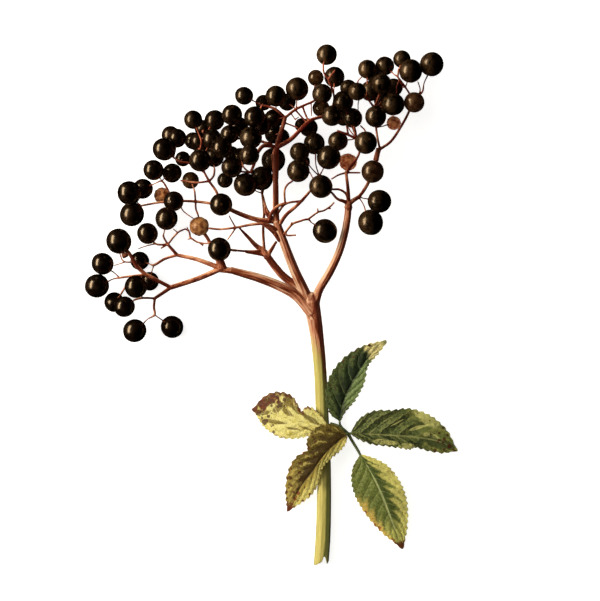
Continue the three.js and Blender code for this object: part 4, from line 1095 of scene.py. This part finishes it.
def stem_bark():
    """Yellow-green below with painted shade in olive on its right flank; above and on the rays cream to tan
    on the side toward the light, with dark red flanks that are partly their own colour and partly painted
    shade. Painted shade also darkens the rear and inner rays, the crease and the crotch where the rays part,
    and the stem where the front leaflet shadows it.
    """
    skin = Skin("stem_bark")
    fine = streaks_along(skin, 2.4, 0.12)
    broad = streaks_along(skin, 0.8, 0.05)
    x, y, _ = skin.parts(skin.place())
    nx, ny, _ = skin.facing()
    lower = skin.mix(fine.ramp(0.36, 0.64), paint(164, 154, 80), paint(190, 179, 102))
    # painted shade: shade is high on the right flank, away from the light, which is painted olive and dark
    # olive
    shade = nx + (fine - 0.5) * 0.5 + (broad - 0.5) * 0.6
    lower = skin.mix(shade.ramp(0.0, 0.35) * 0.9, lower, paint(108, 112, 54))
    lower = skin.mix(shade.ramp(0.62, 0.86) * 0.85, lower, paint(60, 62, 26))
    streak = fine.ramp(0.34, 0.66) * 0.9 + broad.ramp(0.38, 0.62) * 0.5 - 0.7
    left_ray = x.ramp(5.0, -3.0)
    lean = x + y * 0.44
    middle_ray = lean.ramp(10.0, 11.5) * lean.ramp(16.5, 15.0) * y.ramp(2.0, 5.0)
    outward = y.ramp(4.0, 24.0) * 0.4 + x.ramp(-4.0, -13.0) * 0.65 - middle_ray * 0.35
    # painted light and shade: aside is low on the side toward the light and high on the far flank, painted
    # from cream over tan to dark red; left_ray turns the lit side to the top on the left arm
    aside = nx * 0.8 - ny * (left_ray * 0.5 + 0.65) + streak + outward + left_ray * 0.2
    # painted shade: the rear ray, low under the others, and the inner ray below its fork are pushed further
    # toward the dark red
    slant = x + y * 0.9
    rear_ray_shade = slant.ramp(10.5, 12.0) * slant.ramp(16.5, 15.0) * y.ramp(6.0, 9.0)
    inner_ray_shade = y.ramp(26.0, 31.0) * x.ramp(12.0, 8.0)
    aside = aside + rear_ray_shade * 0.6 + inner_ray_shade * 0.7
    upper = skin.mix(aside.ramp(-0.6, 0.0), paint(207, 172, 140), paint(178, 116, 86))
    upper = skin.mix(aside.ramp(0.0, 0.45), upper, paint(124, 60, 34))
    upper = skin.mix(aside.ramp(0.45, 0.8), upper, paint(74, 22, 8))
    turned = (y + broad * 12.0 + nx * 4.0).ramp(-15.0, -3.0)
    colour = skin.mix(turned, lower, upper)
    stripe = (nx + (broad - 0.5) * 0.5).ramp(0.3, 0.62) * (y + fine * 6.0).ramp(-27.0, -16.0)
    colour = skin.mix(stripe * 0.9, colour, paint(84, 28, 12))
    # painted shade: a dark red line in the crease where the rays part
    crease_shade = abs(x + y * 0.1 - 14.1).ramp(0.55, 0.15) * y.ramp(-7.0, -2.0) * y.ramp(5.0, 2.0)
    colour = skin.mix(crease_shade * 0.8, colour, paint(120, 48, 28))
    # painted shade: darker red round the knob at the bottom of the crotch
    crotch_shade = ((x - 13.0) ** 2.0 + (y - 2.4) ** 2.0).ramp(1.4, 0.5)
    colour = skin.mix(crotch_shade * 0.6, colour, paint(120, 50, 30))
    shaded = y.ramp(-61.0, -57.5) * y.ramp(-48.0, -51.0) * (nx + (fine - 0.5) * 0.4).ramp(-0.5, 0.1)
    colour = skin.mix(shaded * 0.8, colour, paint(96, 92, 46))
    height = fine * 0.7 + broad * 0.3
    sheen = {"Specular_IOR_Level": 0.2, "Specular_Tint": (1.0, 0.82, 0.66, 1.0)}
    return skin.finish(colour, fine * 0.2 + 0.42, height, strength=0.3, distance=0.14, **sheen)


def leaf_stalk_skin():
    skin = Skin("leaf_stalk_skin")
    grain = streaks_along(skin, 3.0, 0.4)
    colour = skin.mix(grain.ramp(0.38, 0.66), paint(38, 46, 26), paint(104, 116, 66))
    return skin.finish(colour, grain * 0.2 + 0.4, grain, strength=0.3, distance=0.1)


def berry_skin():
    """Almost black under a streaky waxy bloom, which is painted as a warm brown glow only on the side toward
    the light, and brown or rusty where it dried.
    """
    skin = Skin("berry_skin")
    where = skin.attribute("own_place", 1)
    dryness, tint, height = skin.parts(skin.attribute("ripeness", 1))
    px, py, pz = skin.parts(where)
    mottle = skin.cloud(where, 1.8, 4.0)
    fine = skin.cloud(where, 7.0, 4.0)
    streak = skin.cloud(skin.vector(px * 6.0, py * 6.0, pz * 0.9), 1.0, 3.0)
    nx, _, _ = skin.facing()
    # painted light: the bloom is kept to the side toward the light, where it is painted as a brown glow, and
    # the far side stays black
    bloom = (tint * 0.8 + 0.2) * (mottle * 0.8 + streak * 0.8).ramp(0.58, 0.96) * nx.ramp(0.35, -0.5)
    ripe = skin.mix(mottle.ramp(0.4, 0.72), paint(1, 0, 0), paint(9, 5, 3))
    ripe = skin.mix(bloom * 0.85, ripe, skin.mix(tint, paint(54, 35, 20), paint(90, 64, 38)))
    brown = skin.mix(mottle.ramp(0.36, 0.64), paint(96, 56, 28), paint(176, 124, 70))
    rusty = skin.mix(mottle.ramp(0.36, 0.64), paint(156, 52, 18), paint(236, 152, 98))
    dry = skin.mix(tint, brown, rusty)
    dry = skin.mix(fine.ramp(0.5, 0.68) * 0.6, dry, paint(62, 28, 12))
    colour = skin.mix(dryness, ripe, dry)
    colour = skin.mix(height.ramp(0.986, 0.996) * 0.4, colour, paint(70, 46, 28))
    roughness = mottle * 0.1 + streak * 0.05 + 0.14 + tint * 0.1 + dryness * 0.2
    skin.feed(skin.shader.inputs["Coat Weight"], streak.ramp(0.2, 0.8) * (1.0 - tint) * 0.3)
    gloss = {"Coat_Roughness": 0.14, "Coat_IOR": 1.4, "IOR": 1.56, "Specular_Tint": (1.0, 0.78, 0.54, 1.0)}
    return skin.finish(colour, roughness, mottle * 0.7 + streak * 0.3, strength=0.08, distance=0.14, **gloss)


# ---------------------------------------------------------------- finishes of the leaflets

BLACK_GREEN = paint(24, 36, 22)
DARK_GREEN = paint(48, 62, 34)
LEAF_GREEN = paint(92, 108, 56)
SAGE = paint(124, 144, 88)
LEMON = paint(216, 204, 120)
STRAW = paint(226, 214, 150)
RED_BROWN = paint(112, 44, 20)
UMBER = paint(72, 40, 20)


class Blade:
    """The places on a leaflet that its colours follow.

    Share runs from 0 at its base to 1 at its tip, side from -1 on its left margin to 1 on its right one, and
    reach is how far it is from the midrib. Between is 0 on a side vein and 1 half-way to the next. Above runs
    from 0 half-way below a side vein, over 0.5 on the vein, to 1 half-way above it.
    """

    def __init__(self, name):
        self.skin = skin = Skin(name + "_skin")
        form = BLADE_FORMS[name]
        u, self.share, _ = skin.parts(skin.node("ShaderNodeTexCoord", {}, {}, "UV"))
        self.side = u * 2.0 - 1.0
        self.reach = abs(self.side)
        self.place = skin.place()
        self.x, self.y, _ = skin.parts(self.place)
        self.cloudy = skin.cloud(self.place, 0.42, 4.0)
        self.fine = skin.cloud(self.place, 2.2, 4.0)
        lean = self.share - self.reach**1.25 * form["lean"]
        phase = lean * float(form["veins"]) + (self.cloudy - 0.5) * 0.3 + 10.0
        self.between = abs((phase + 0.5).fraction() - 0.5) * 2.0
        self.above = (phase + 0.5).fraction()
        self.side_vein = self.between.ramp(0.17, 0.02) * self.reach.ramp(1.0, 0.6)
        self.midrib = self.reach.ramp(0.075, 0.025)
        values = {"Vector": self.place, "Scale": 0.62, "Randomness": 1.0}
        cells = skin.node("ShaderNodeTexVoronoi", {"feature": "F1"}, values)
        self.cell_distance = cells
        self.cell_share = skin.parts(Field(skin, cells.socket.node.outputs["Color"]))[0]
        values = {"Vector": self.place, "Scale": 1.3, "Randomness": 0.9}
        self.net = skin.node("ShaderNodeTexVoronoi", {"feature": "DISTANCE_TO_EDGE"}, values).ramp(0.16, 0.02)

    def patch(self, x, y, width, length, degrees):
        """A soft ragged patch: its middle, half its width and length, and the way that it is drawn out."""
        turn = math.radians(degrees)
        along = ((self.x - x) * math.cos(turn) + (self.y - y) * math.sin(turn)) / length
        aside = ((self.y - y) * math.cos(turn) - (self.x - x) * math.sin(turn)) / width
        far = along * along + aside * aside + (self.cloudy - 0.5) * 2.4
        return (far + (self.fine - 0.5) * 1.0 + (self.between - 0.5) * 0.4).ramp(1.3, 0.6)

    def specks(self, region, size):
        """Small round spots, more and larger where region is near 1."""
        radius = (self.cell_share * 0.6 + 0.4) * region * size
        return (self.cell_distance + (self.fine - 0.5) * 0.22 - radius).ramp(0.04, -0.04)

    def fringe(self, amount, start=0.84):
        """Ragged colour along the margin, in clumps, and all of it where amount is near 1."""
        ragged = (self.reach + (self.fine - 0.5) * 0.3).ramp(start, start + 0.12)
        return ragged * (self.cloudy + amount).ramp(0.98, 1.1)

    def finish(self, colour, relief=1.0):
        grit = self.skin.cloud(self.place, 4.6, 3.0, 0.7)
        dots = (grit + (self.cloudy - 0.5) * 0.4).ramp(0.48, 0.58)
        dark = self.skin.mix(self.reach.ramp(0.2, 0.9) * 0.6, paint(40, 46, 20), paint(74, 54, 24))
        colour = self.skin.mix(dots * 0.4, colour, dark)
        height = self.fine * 0.35 + grit * 0.2 - self.net * 0.3 - self.side_vein * 0.6 - self.midrib
        matt = {"strength": 0.4 * relief, "distance": 0.16, "Specular_IOR_Level": 0.22}
        return self.skin.finish(colour, self.fine * 0.15 + 0.55, height, **matt)


def upper_blade():
    """Dark green, nearly black by the midrib, sage on the other half and straw at the tip."""
    blade = Blade("leaflet_upper")
    mix = blade.skin.mix
    ground = mix(blade.fine.ramp(0.38, 0.64), DARK_GREEN, LEAF_GREEN)
    dark = (blade.reach + (blade.cloudy - 0.5) * 0.9 + (blade.between - 0.5) * 0.25).ramp(0.75, 0.3)
    colour = mix(dark * 0.9, ground, BLACK_GREEN)
    colour = mix(blade.side_vein * 0.35, colour, SAGE)
    colour = mix(blade.specks((blade.reach + blade.share * 0.4).ramp(0.5, 1.1), 0.5) * 0.75, colour, UMBER)
    sage = (blade.side + (blade.fine - 0.5) * 0.12).ramp(0.08, 0.2)
    bright = mix(blade.fine.ramp(0.35, 0.65), paint(96, 116, 66), SAGE)
    colour = mix(sage * blade.share.ramp(0.1, 0.3) * 0.95, colour, bright)
    tip = (blade.share + (blade.cloudy - 0.5) * 0.2 + blade.side * 0.03).ramp(0.74, 0.8)
    colour = mix(tip, colour, mix(blade.fine.ramp(0.4, 0.7), STRAW, LEMON))
    colour = mix(blade.share.ramp(0.93, 0.99) * 0.8, colour, paint(112, 120, 66))
    colour = mix(blade.patch(31.8, -12.9, 0.5, 0.6, 0), colour, UMBER)
    return blade.finish(colour, 0.8)


def right_blade():
    """Quilted dark green with pale raised veins, painted shade in the furrows below them and a painted
    highlight on the crests above them, yellow-green towards the tip and the lower margin.
    """
    blade = Blade("leaflet_right")
    mix = blade.skin.mix
    colour = mix(blade.fine.ramp(0.36, 0.66), paint(54, 62, 30), paint(100, 112, 58))
    # painted shade: the furrow on the lower side of each side vein is painted darker, as the quilting would
    # shade it
    furrow = (blade.above + (blade.cloudy - 0.5) * 1.1 + (blade.fine - 0.5) * 0.5).ramp(0.5, 0.1)
    colour = mix(furrow * 0.8, colour, paint(36, 42, 20))
    # painted highlight: the crest of each quilted bulge is painted lighter
    crest_highlight = (blade.above + (blade.cloudy - 0.5) * 0.9 + (blade.fine - 0.5) * 0.4).ramp(0.78, 1.0)
    colour = mix(crest_highlight * 0.6, colour, paint(148, 154, 90))
    colour = mix(blade.side_vein * (blade.cloudy - 0.1).ramp(0.3, 0.5) * 0.7, colour, paint(170, 172, 104))
    aged = (blade.share + (blade.cloudy - 0.5) * 0.9 - blade.side * 0.16).ramp(0.5, 0.82)
    moss = mix((blade.fine + blade.above * 0.4).ramp(0.5, 0.9), paint(170, 172, 88), paint(104, 118, 54))
    colour = mix(aged * 0.8, colour, moss)
    for spot in (
        (50.5, -36.7, 1.7, 5, -36),
        (47.5, -39.3, 0.5, 3.2, 16),
        (52, -42.4, 1.0, 4, -24),
        (37, -44, 0.9, 4.2, -6),
        (44, -45.4, 1.1, 2.8, 0),
        (40.6, -37.8, 0.22, 2.4, 28),
    ):
        pale = blade.patch(*spot) * (blade.fine + blade.cloudy).ramp(0.66, 1.0)
        colour = mix(pale * 0.85, colour, paint(198, 196, 116))
    for spot in ((54.6, -44.6, 1.7, 4.6, -12), (47.4, -37.6, 0.7, 2.2, -20), (49, -43.6, 1.0, 2.4, 30)):
        colour = mix(blade.patch(*spot) * 0.8, colour, paint(62, 74, 38))
    colour = mix(blade.midrib * 0.7, colour, paint(160, 162, 100))
    colour = mix(blade.specks(blade.share.ramp(0.5, 0.95), 0.55) * 0.85, colour, paint(78, 26, 10))
    colour = mix(blade.fringe(0.34, 0.9) * 0.7, colour, UMBER)
    return blade.finish(colour, 1.2)


def end_blade():
    """Green down the middle, feathering along the veins into lemon, ochre and brown towards its tip."""
    blade = Blade("leaflet_end")
    mix = blade.skin.mix
    colour = mix(blade.fine.ramp(0.36, 0.66), paint(82, 94, 40), paint(122, 132, 62))
    by_midrib = (blade.side + (blade.cloudy - 0.5) * 0.3).ramp(-0.5, -0.2) * blade.side.ramp(0.1, -0.04)
    colour = mix(by_midrib * 0.75, colour, paint(58, 72, 30))
    feather = (blade.between - 0.5) * 0.45 + (blade.cloudy - 0.5) * 0.6 + (blade.fine - 0.5) * 0.25
    lemon = (feather - blade.side).ramp(0.3, 0.66)
    yellow = mix(blade.fine.ramp(0.4, 0.7), paint(226, 217, 124), paint(198, 194, 94))
    colour = mix(lemon * 0.9, colour, yellow)
    low = (blade.share + feather * 0.25).ramp(0.62, 0.88)
    colour = mix(low * 0.7, colour, paint(200, 198, 104))
    ochre = (blade.side + feather * 0.5).ramp(0.5, 0.85) * (blade.share + feather * 0.1).ramp(0.4, 0.58)
    colour = mix(ochre * 0.9, colour, paint(214, 184, 92))
    colour = mix(blade.side_vein * 0.25, colour, paint(186, 192, 120))
    colour = mix(blade.midrib * 0.85, colour, paint(178, 186, 122))
    rusty = (blade.side + blade.share).ramp(1.1, 1.75)
    colour = mix(blade.specks(rusty, 0.6) * 0.8, colour, paint(152, 84, 28))
    colour = mix(blade.specks(blade.reach.ramp(0.6, 1.0) * 0.6, 0.5) * 0.6, colour, RED_BROWN)
    burnt = (blade.share + (blade.fine - 0.5) * 0.08).ramp(0.91, 0.95)
    colour = mix(burnt, colour, mix(blade.fine, paint(118, 58, 18), paint(70, 34, 14)))
    colour = mix(blade.fringe(0.36, 0.9) * 0.6, colour, RED_BROWN)
    return blade.finish(colour, 0.9)


def front_blade():
    """Olive-brown half with dark streaks, and pale streaks between its side veins that are a painted
    highlight on the crests of the quilting, and a smooth lemon half, both rusty-edged.
    """
    blade = Blade("leaflet_front")
    mix = blade.skin.mix
    colour = mix(blade.fine.ramp(0.36, 0.64), paint(72, 58, 16), paint(124, 108, 44))
    dark = (blade.reach + (blade.cloudy - 0.5) * 1.6 + (blade.between - 0.5) * 0.4).ramp(0.7, 0.25)
    colour = mix(dark * 0.85, colour, paint(58, 38, 12))
    # painted highlight: pale streaks on the crests of the quilting between the side veins
    pale = (blade.above + (blade.cloudy - 0.5) * 1.5 + (blade.fine - 0.5) * 0.5).ramp(0.84, 1.02)
    colour = mix(pale * blade.reach.ramp(0.1, 0.5) * 0.7, colour, paint(196, 178, 96))
    yellowed = (blade.share + (blade.cloudy - 0.5) * 0.7 + blade.reach * 0.2).ramp(0.72, 1.0)
    colour = mix(yellowed * 0.75, colour, paint(192, 170, 84))
    spotted = (blade.reach * 0.5 + blade.share * 0.8).ramp(0.2, 1.0)
    colour = mix(blade.specks(spotted, 0.5) * 0.85, colour, paint(78, 34, 12))
    lemon = (blade.side + (blade.fine - 0.5) * 0.1 + (blade.cloudy - 0.5) * 0.1).ramp(-0.04, -0.14)
    inner = (blade.reach + (blade.cloudy - 0.5) * 0.8).ramp(0.2, 0.6)
    smooth = mix(inner, paint(164, 144, 62), paint(210, 198, 110))
    smooth = mix(blade.specks(blade.share.ramp(0.62, 0.9), 0.7) * 0.9, smooth, RED_BROWN)
    colour = mix(lemon * blade.share.ramp(0.02, 0.1), colour, smooth)
    fringe = blade.fringe(0.52, 0.86) * (blade.share - blade.side * 0.3).ramp(0.0, 0.35)
    colour = mix(fringe * 0.85, colour, RED_BROWN)
    colour = mix((blade.share + (blade.fine - 0.5) * 0.14).ramp(0.9, 0.96) * 0.95, colour, RED_BROWN)
    return blade.finish(colour)


def left_blade():
    """Lemon and straw with olive patches by the midrib, a rusty tip and rusty upper margin."""
    blade = Blade("leaflet_left")
    mix = blade.skin.mix
    colour = mix((blade.cloudy + blade.fine).ramp(0.7, 1.1), paint(160, 146, 54), paint(222, 214, 132))
    olive = mix(blade.fine.ramp(0.35, 0.65), paint(84, 72, 20), paint(132, 112, 44))
    for spot in (
        (13, -36.6, 0.9, 3.4, 150),
        (8.6, -33.6, 0.9, 3.6, 146),
        (5.6, -30.2, 1.3, 2.2, 120),
        (2.6, -33, 1.2, 2.6, 30),
        (-0.4, -30.4, 1.4, 2.2, 40),
        (1, -37.4, 0.6, 4.4, 172),
        (7, -39.6, 0.4, 2.6, 172),
        (5.4, -34.4, 0.8, 2.4, 150),
        (-1.6, -34.6, 0.7, 2, 20),
        (11.6, -39.6, 0.4, 2.4, 160),
    ):
        colour = mix(blade.patch(*spot) * 0.9, colour, olive)
    colour = mix(blade.side_vein * 0.35, colour, paint(232, 220, 156))
    near_tip = blade.share.ramp(0.45, 0.95)
    colour = mix(blade.specks((near_tip + blade.reach * 0.6).ramp(0.3, 1.1), 0.78) * 0.9, colour, UMBER)
    rust = mix(blade.fine.ramp(0.38, 0.62), paint(52, 10, 0), paint(112, 48, 12))
    for spot in ((-2.4, -32, 1.8, 3.4, 50), (1.4, -30.4, 1.2, 1.8, 140), (9.6, -33.8, 0.6, 1.6, 130)):
        colour = mix(blade.patch(*spot) * blade.cloudy.ramp(0.36, 0.46), colour, rust)
    upper_edge = blade.fringe(0.62, 0.8) * blade.side.ramp(-0.2, 0.5)
    lower_edge = blade.fringe(0.48, 0.88) * blade.side.ramp(0.2, -0.5)
    colour = mix((upper_edge + lower_edge) * 0.9, colour, rust)
    colour = mix((blade.share + (blade.fine - 0.5) * 0.16).ramp(0.92, 0.96), colour, rust)
    return blade.finish(colour)


def table_top():
    skin = Skin("table_top")
    paper = skin.cloud(skin.place(), 0.05, 2.0)
    colour = skin.mix(paper, paint(208, 208, 207), paint(214, 214, 213))
    return skin.finish(colour, 0.85, Emission_Color=(1.0, 1.0, 1.0, 1.0), Emission_Strength=0.8)


# ---------------------------------------------------------------- the cluster


def ragged_end(piece):
    """Draws the cut end out into a low corner and a torn prong, with a notch between them."""
    for vert in piece.data.vertices:
        x, y = vert.co.x / MM, vert.co.y / MM
        if y > CUT_FROM:
            continue
        after = next((i for i, (edge_x, _) in enumerate(CUT_EDGE) if edge_x >= x), len(CUT_EDGE) - 1)
        (x0, y0), (x1, y1) = CUT_EDGE[max(after - 1, 0)], CUT_EDGE[max(after, 1)]
        end = y0 + (y1 - y0) * min(1, max(0, (x - x0) / (x1 - x0)))
        vert.co.y = (CUT_FROM + (y - CUT_FROM) * (end - CUT_FROM) / (CUT_FLAT - CUT_FROM)) * MM


def build_stem():
    routes = stem_routes()
    piece = grown_together("stem_and_rays", routes, STEM_VOXEL)
    add_grain(piece, routes)
    ragged_end(piece)
    dress(piece, stem_bark(), "stem_skin", "stem")


def build_sprays():
    berries = settled_berries()
    stalk_finish = spray_stalk_skin()
    berry_finish = berry_skin()
    for name in SPRAYS:
        routes = spray_routes(name, berries)
        stalks = grown_together(name + "_stalks", routes, SPRAY_VOXEL)
        add_grain(stalks, routes)
        dress(stalks, stalk_finish, "stalk_skin", name)
        fruit = put_in_scene(name + "_berries", berry_mesh(name, berries))
        dress(fruit, berry_finish, "berry_skin", name)


def build_leaf():
    routes = [stalk_from(row, Vector) for row in LEAF_STALKS + BLADE_ROOTS]
    piece = grown_together("leaf_stalk_and_roots", routes, SPRAY_VOXEL)
    add_grain(piece, routes)
    dress(piece, leaf_stalk_skin(), "leaf_stalk_skin", "leaf_stalk")
    make_leaflet("leaflet_upper", upper_blade(), "leaf_dark_green")
    make_leaflet("leaflet_right", right_blade(), "leaf_green")
    make_leaflet("leaflet_end", end_blade(), "leaf_green")
    make_leaflet("leaflet_front", front_blade(), "leaf_olive")
    make_leaflet("leaflet_left", left_blade(), "leaf_yellow")


# ---------------------------------------------------------------- table, light and camera

VIEW_CENTRE = (9.44, 1.6)  # what the camera looks straight down at
VIEW_HEIGHT = 192.3  # how much of the y axis it sees, at the height that it is focused on
FOCUS_HEIGHT = 15
CAMERA_DISTANCE = 1500
SENSOR = 36
CLIP_END = 10.0  # in metres
TABLE_HALF = 3.0  # in metres
LIT_MIDDLE = (0, 10, 10)  # what the lights face


def build_table():
    plate = bmesh.new()
    bmesh.ops.create_grid(plate, x_segments=1, y_segments=1, size=TABLE_HALF)
    mesh = bpy.data.meshes.new("table")
    plate.to_mesh(mesh)
    plate.free()
    table = put_in_scene("table", mesh)
    mesh.materials.append(table_top())
    table.visible_glossy = False
    table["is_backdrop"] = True


def add_area_light(name, direction, distance, size_x, size_y, watts, colour, diffuse=True, glossy=True):
    """A soft light that faces the middle of the cluster, with its long side along Y."""
    lamp = bpy.data.lights.new(name, "AREA")
    lamp.shape = "RECTANGLE"
    lamp.size = size_x
    lamp.size_y = size_y
    lamp.energy = watts
    lamp.color = colour
    light = bpy.data.objects.new(name, lamp)
    bpy.context.scene.collection.objects.link(light)
    middle = Vector([value * MM for value in LIT_MIDDLE])
    light.location = middle + Vector(direction).normalized() * distance
    ahead = -Vector(direction).normalized()
    across = Vector((0, 1, 0)).cross(ahead).normalized()
    upward = ahead.cross(across)
    turned = Matrix((across, upward, -ahead)).transposed().to_4x4()
    light.matrix_world = Matrix.Translation(light.location) @ turned
    light.visible_diffuse = diffuse
    light.visible_glossy = glossy


def build_light():
    add_area_light("window", (-0.76, 0.22, 0.6), 0.8, 0.3, 0.85, 8.5, (1.0, 0.9, 0.76), glossy=False)
    gleam = (1.0, 0.86, 0.66)
    add_area_light("window_gleam", (-0.84, 0.22, 0.46), 0.8, 0.27, 0.85, 12.5, gleam, diffuse=False)
    add_area_light("overhead", (-0.45, 0.35, 1.0), 1.3, 1.3, 1.3, 7.5, (1.0, 0.96, 0.88), glossy=False)
    world = bpy.data.worlds.new("room")
    world.use_nodes = True
    world.node_tree.nodes["Background"].inputs["Color"].default_value = (1.0, 0.97, 0.92, 1.0)
    world.node_tree.nodes["Background"].inputs["Strength"].default_value = 0.18
    world.cycles_visibility.glossy = False
    bpy.context.scene.world = world


def build_camera():
    lens = bpy.data.cameras.new("camera")
    lens.sensor_fit = "VERTICAL"
    lens.sensor_height = SENSOR
    lens.lens = SENSOR * CAMERA_DISTANCE / VIEW_HEIGHT
    lens.clip_end = CLIP_END
    camera = bpy.data.objects.new("camera", lens)
    bpy.context.scene.collection.objects.link(camera)
    camera.location = (VIEW_CENTRE[0] * MM, VIEW_CENTRE[1] * MM, (CAMERA_DISTANCE + FOCUS_HEIGHT) * MM)
    bpy.context.scene.camera = camera
    bpy.context.scene.view_settings.view_transform = "Standard"


build_camera()
build_stem()
build_sprays()
build_leaf()
build_table()
build_light()

boxes = {"cad": cad_box, "visual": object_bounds()}
{name: [list(corner) for corner in box] for name, box in boxes.items()}
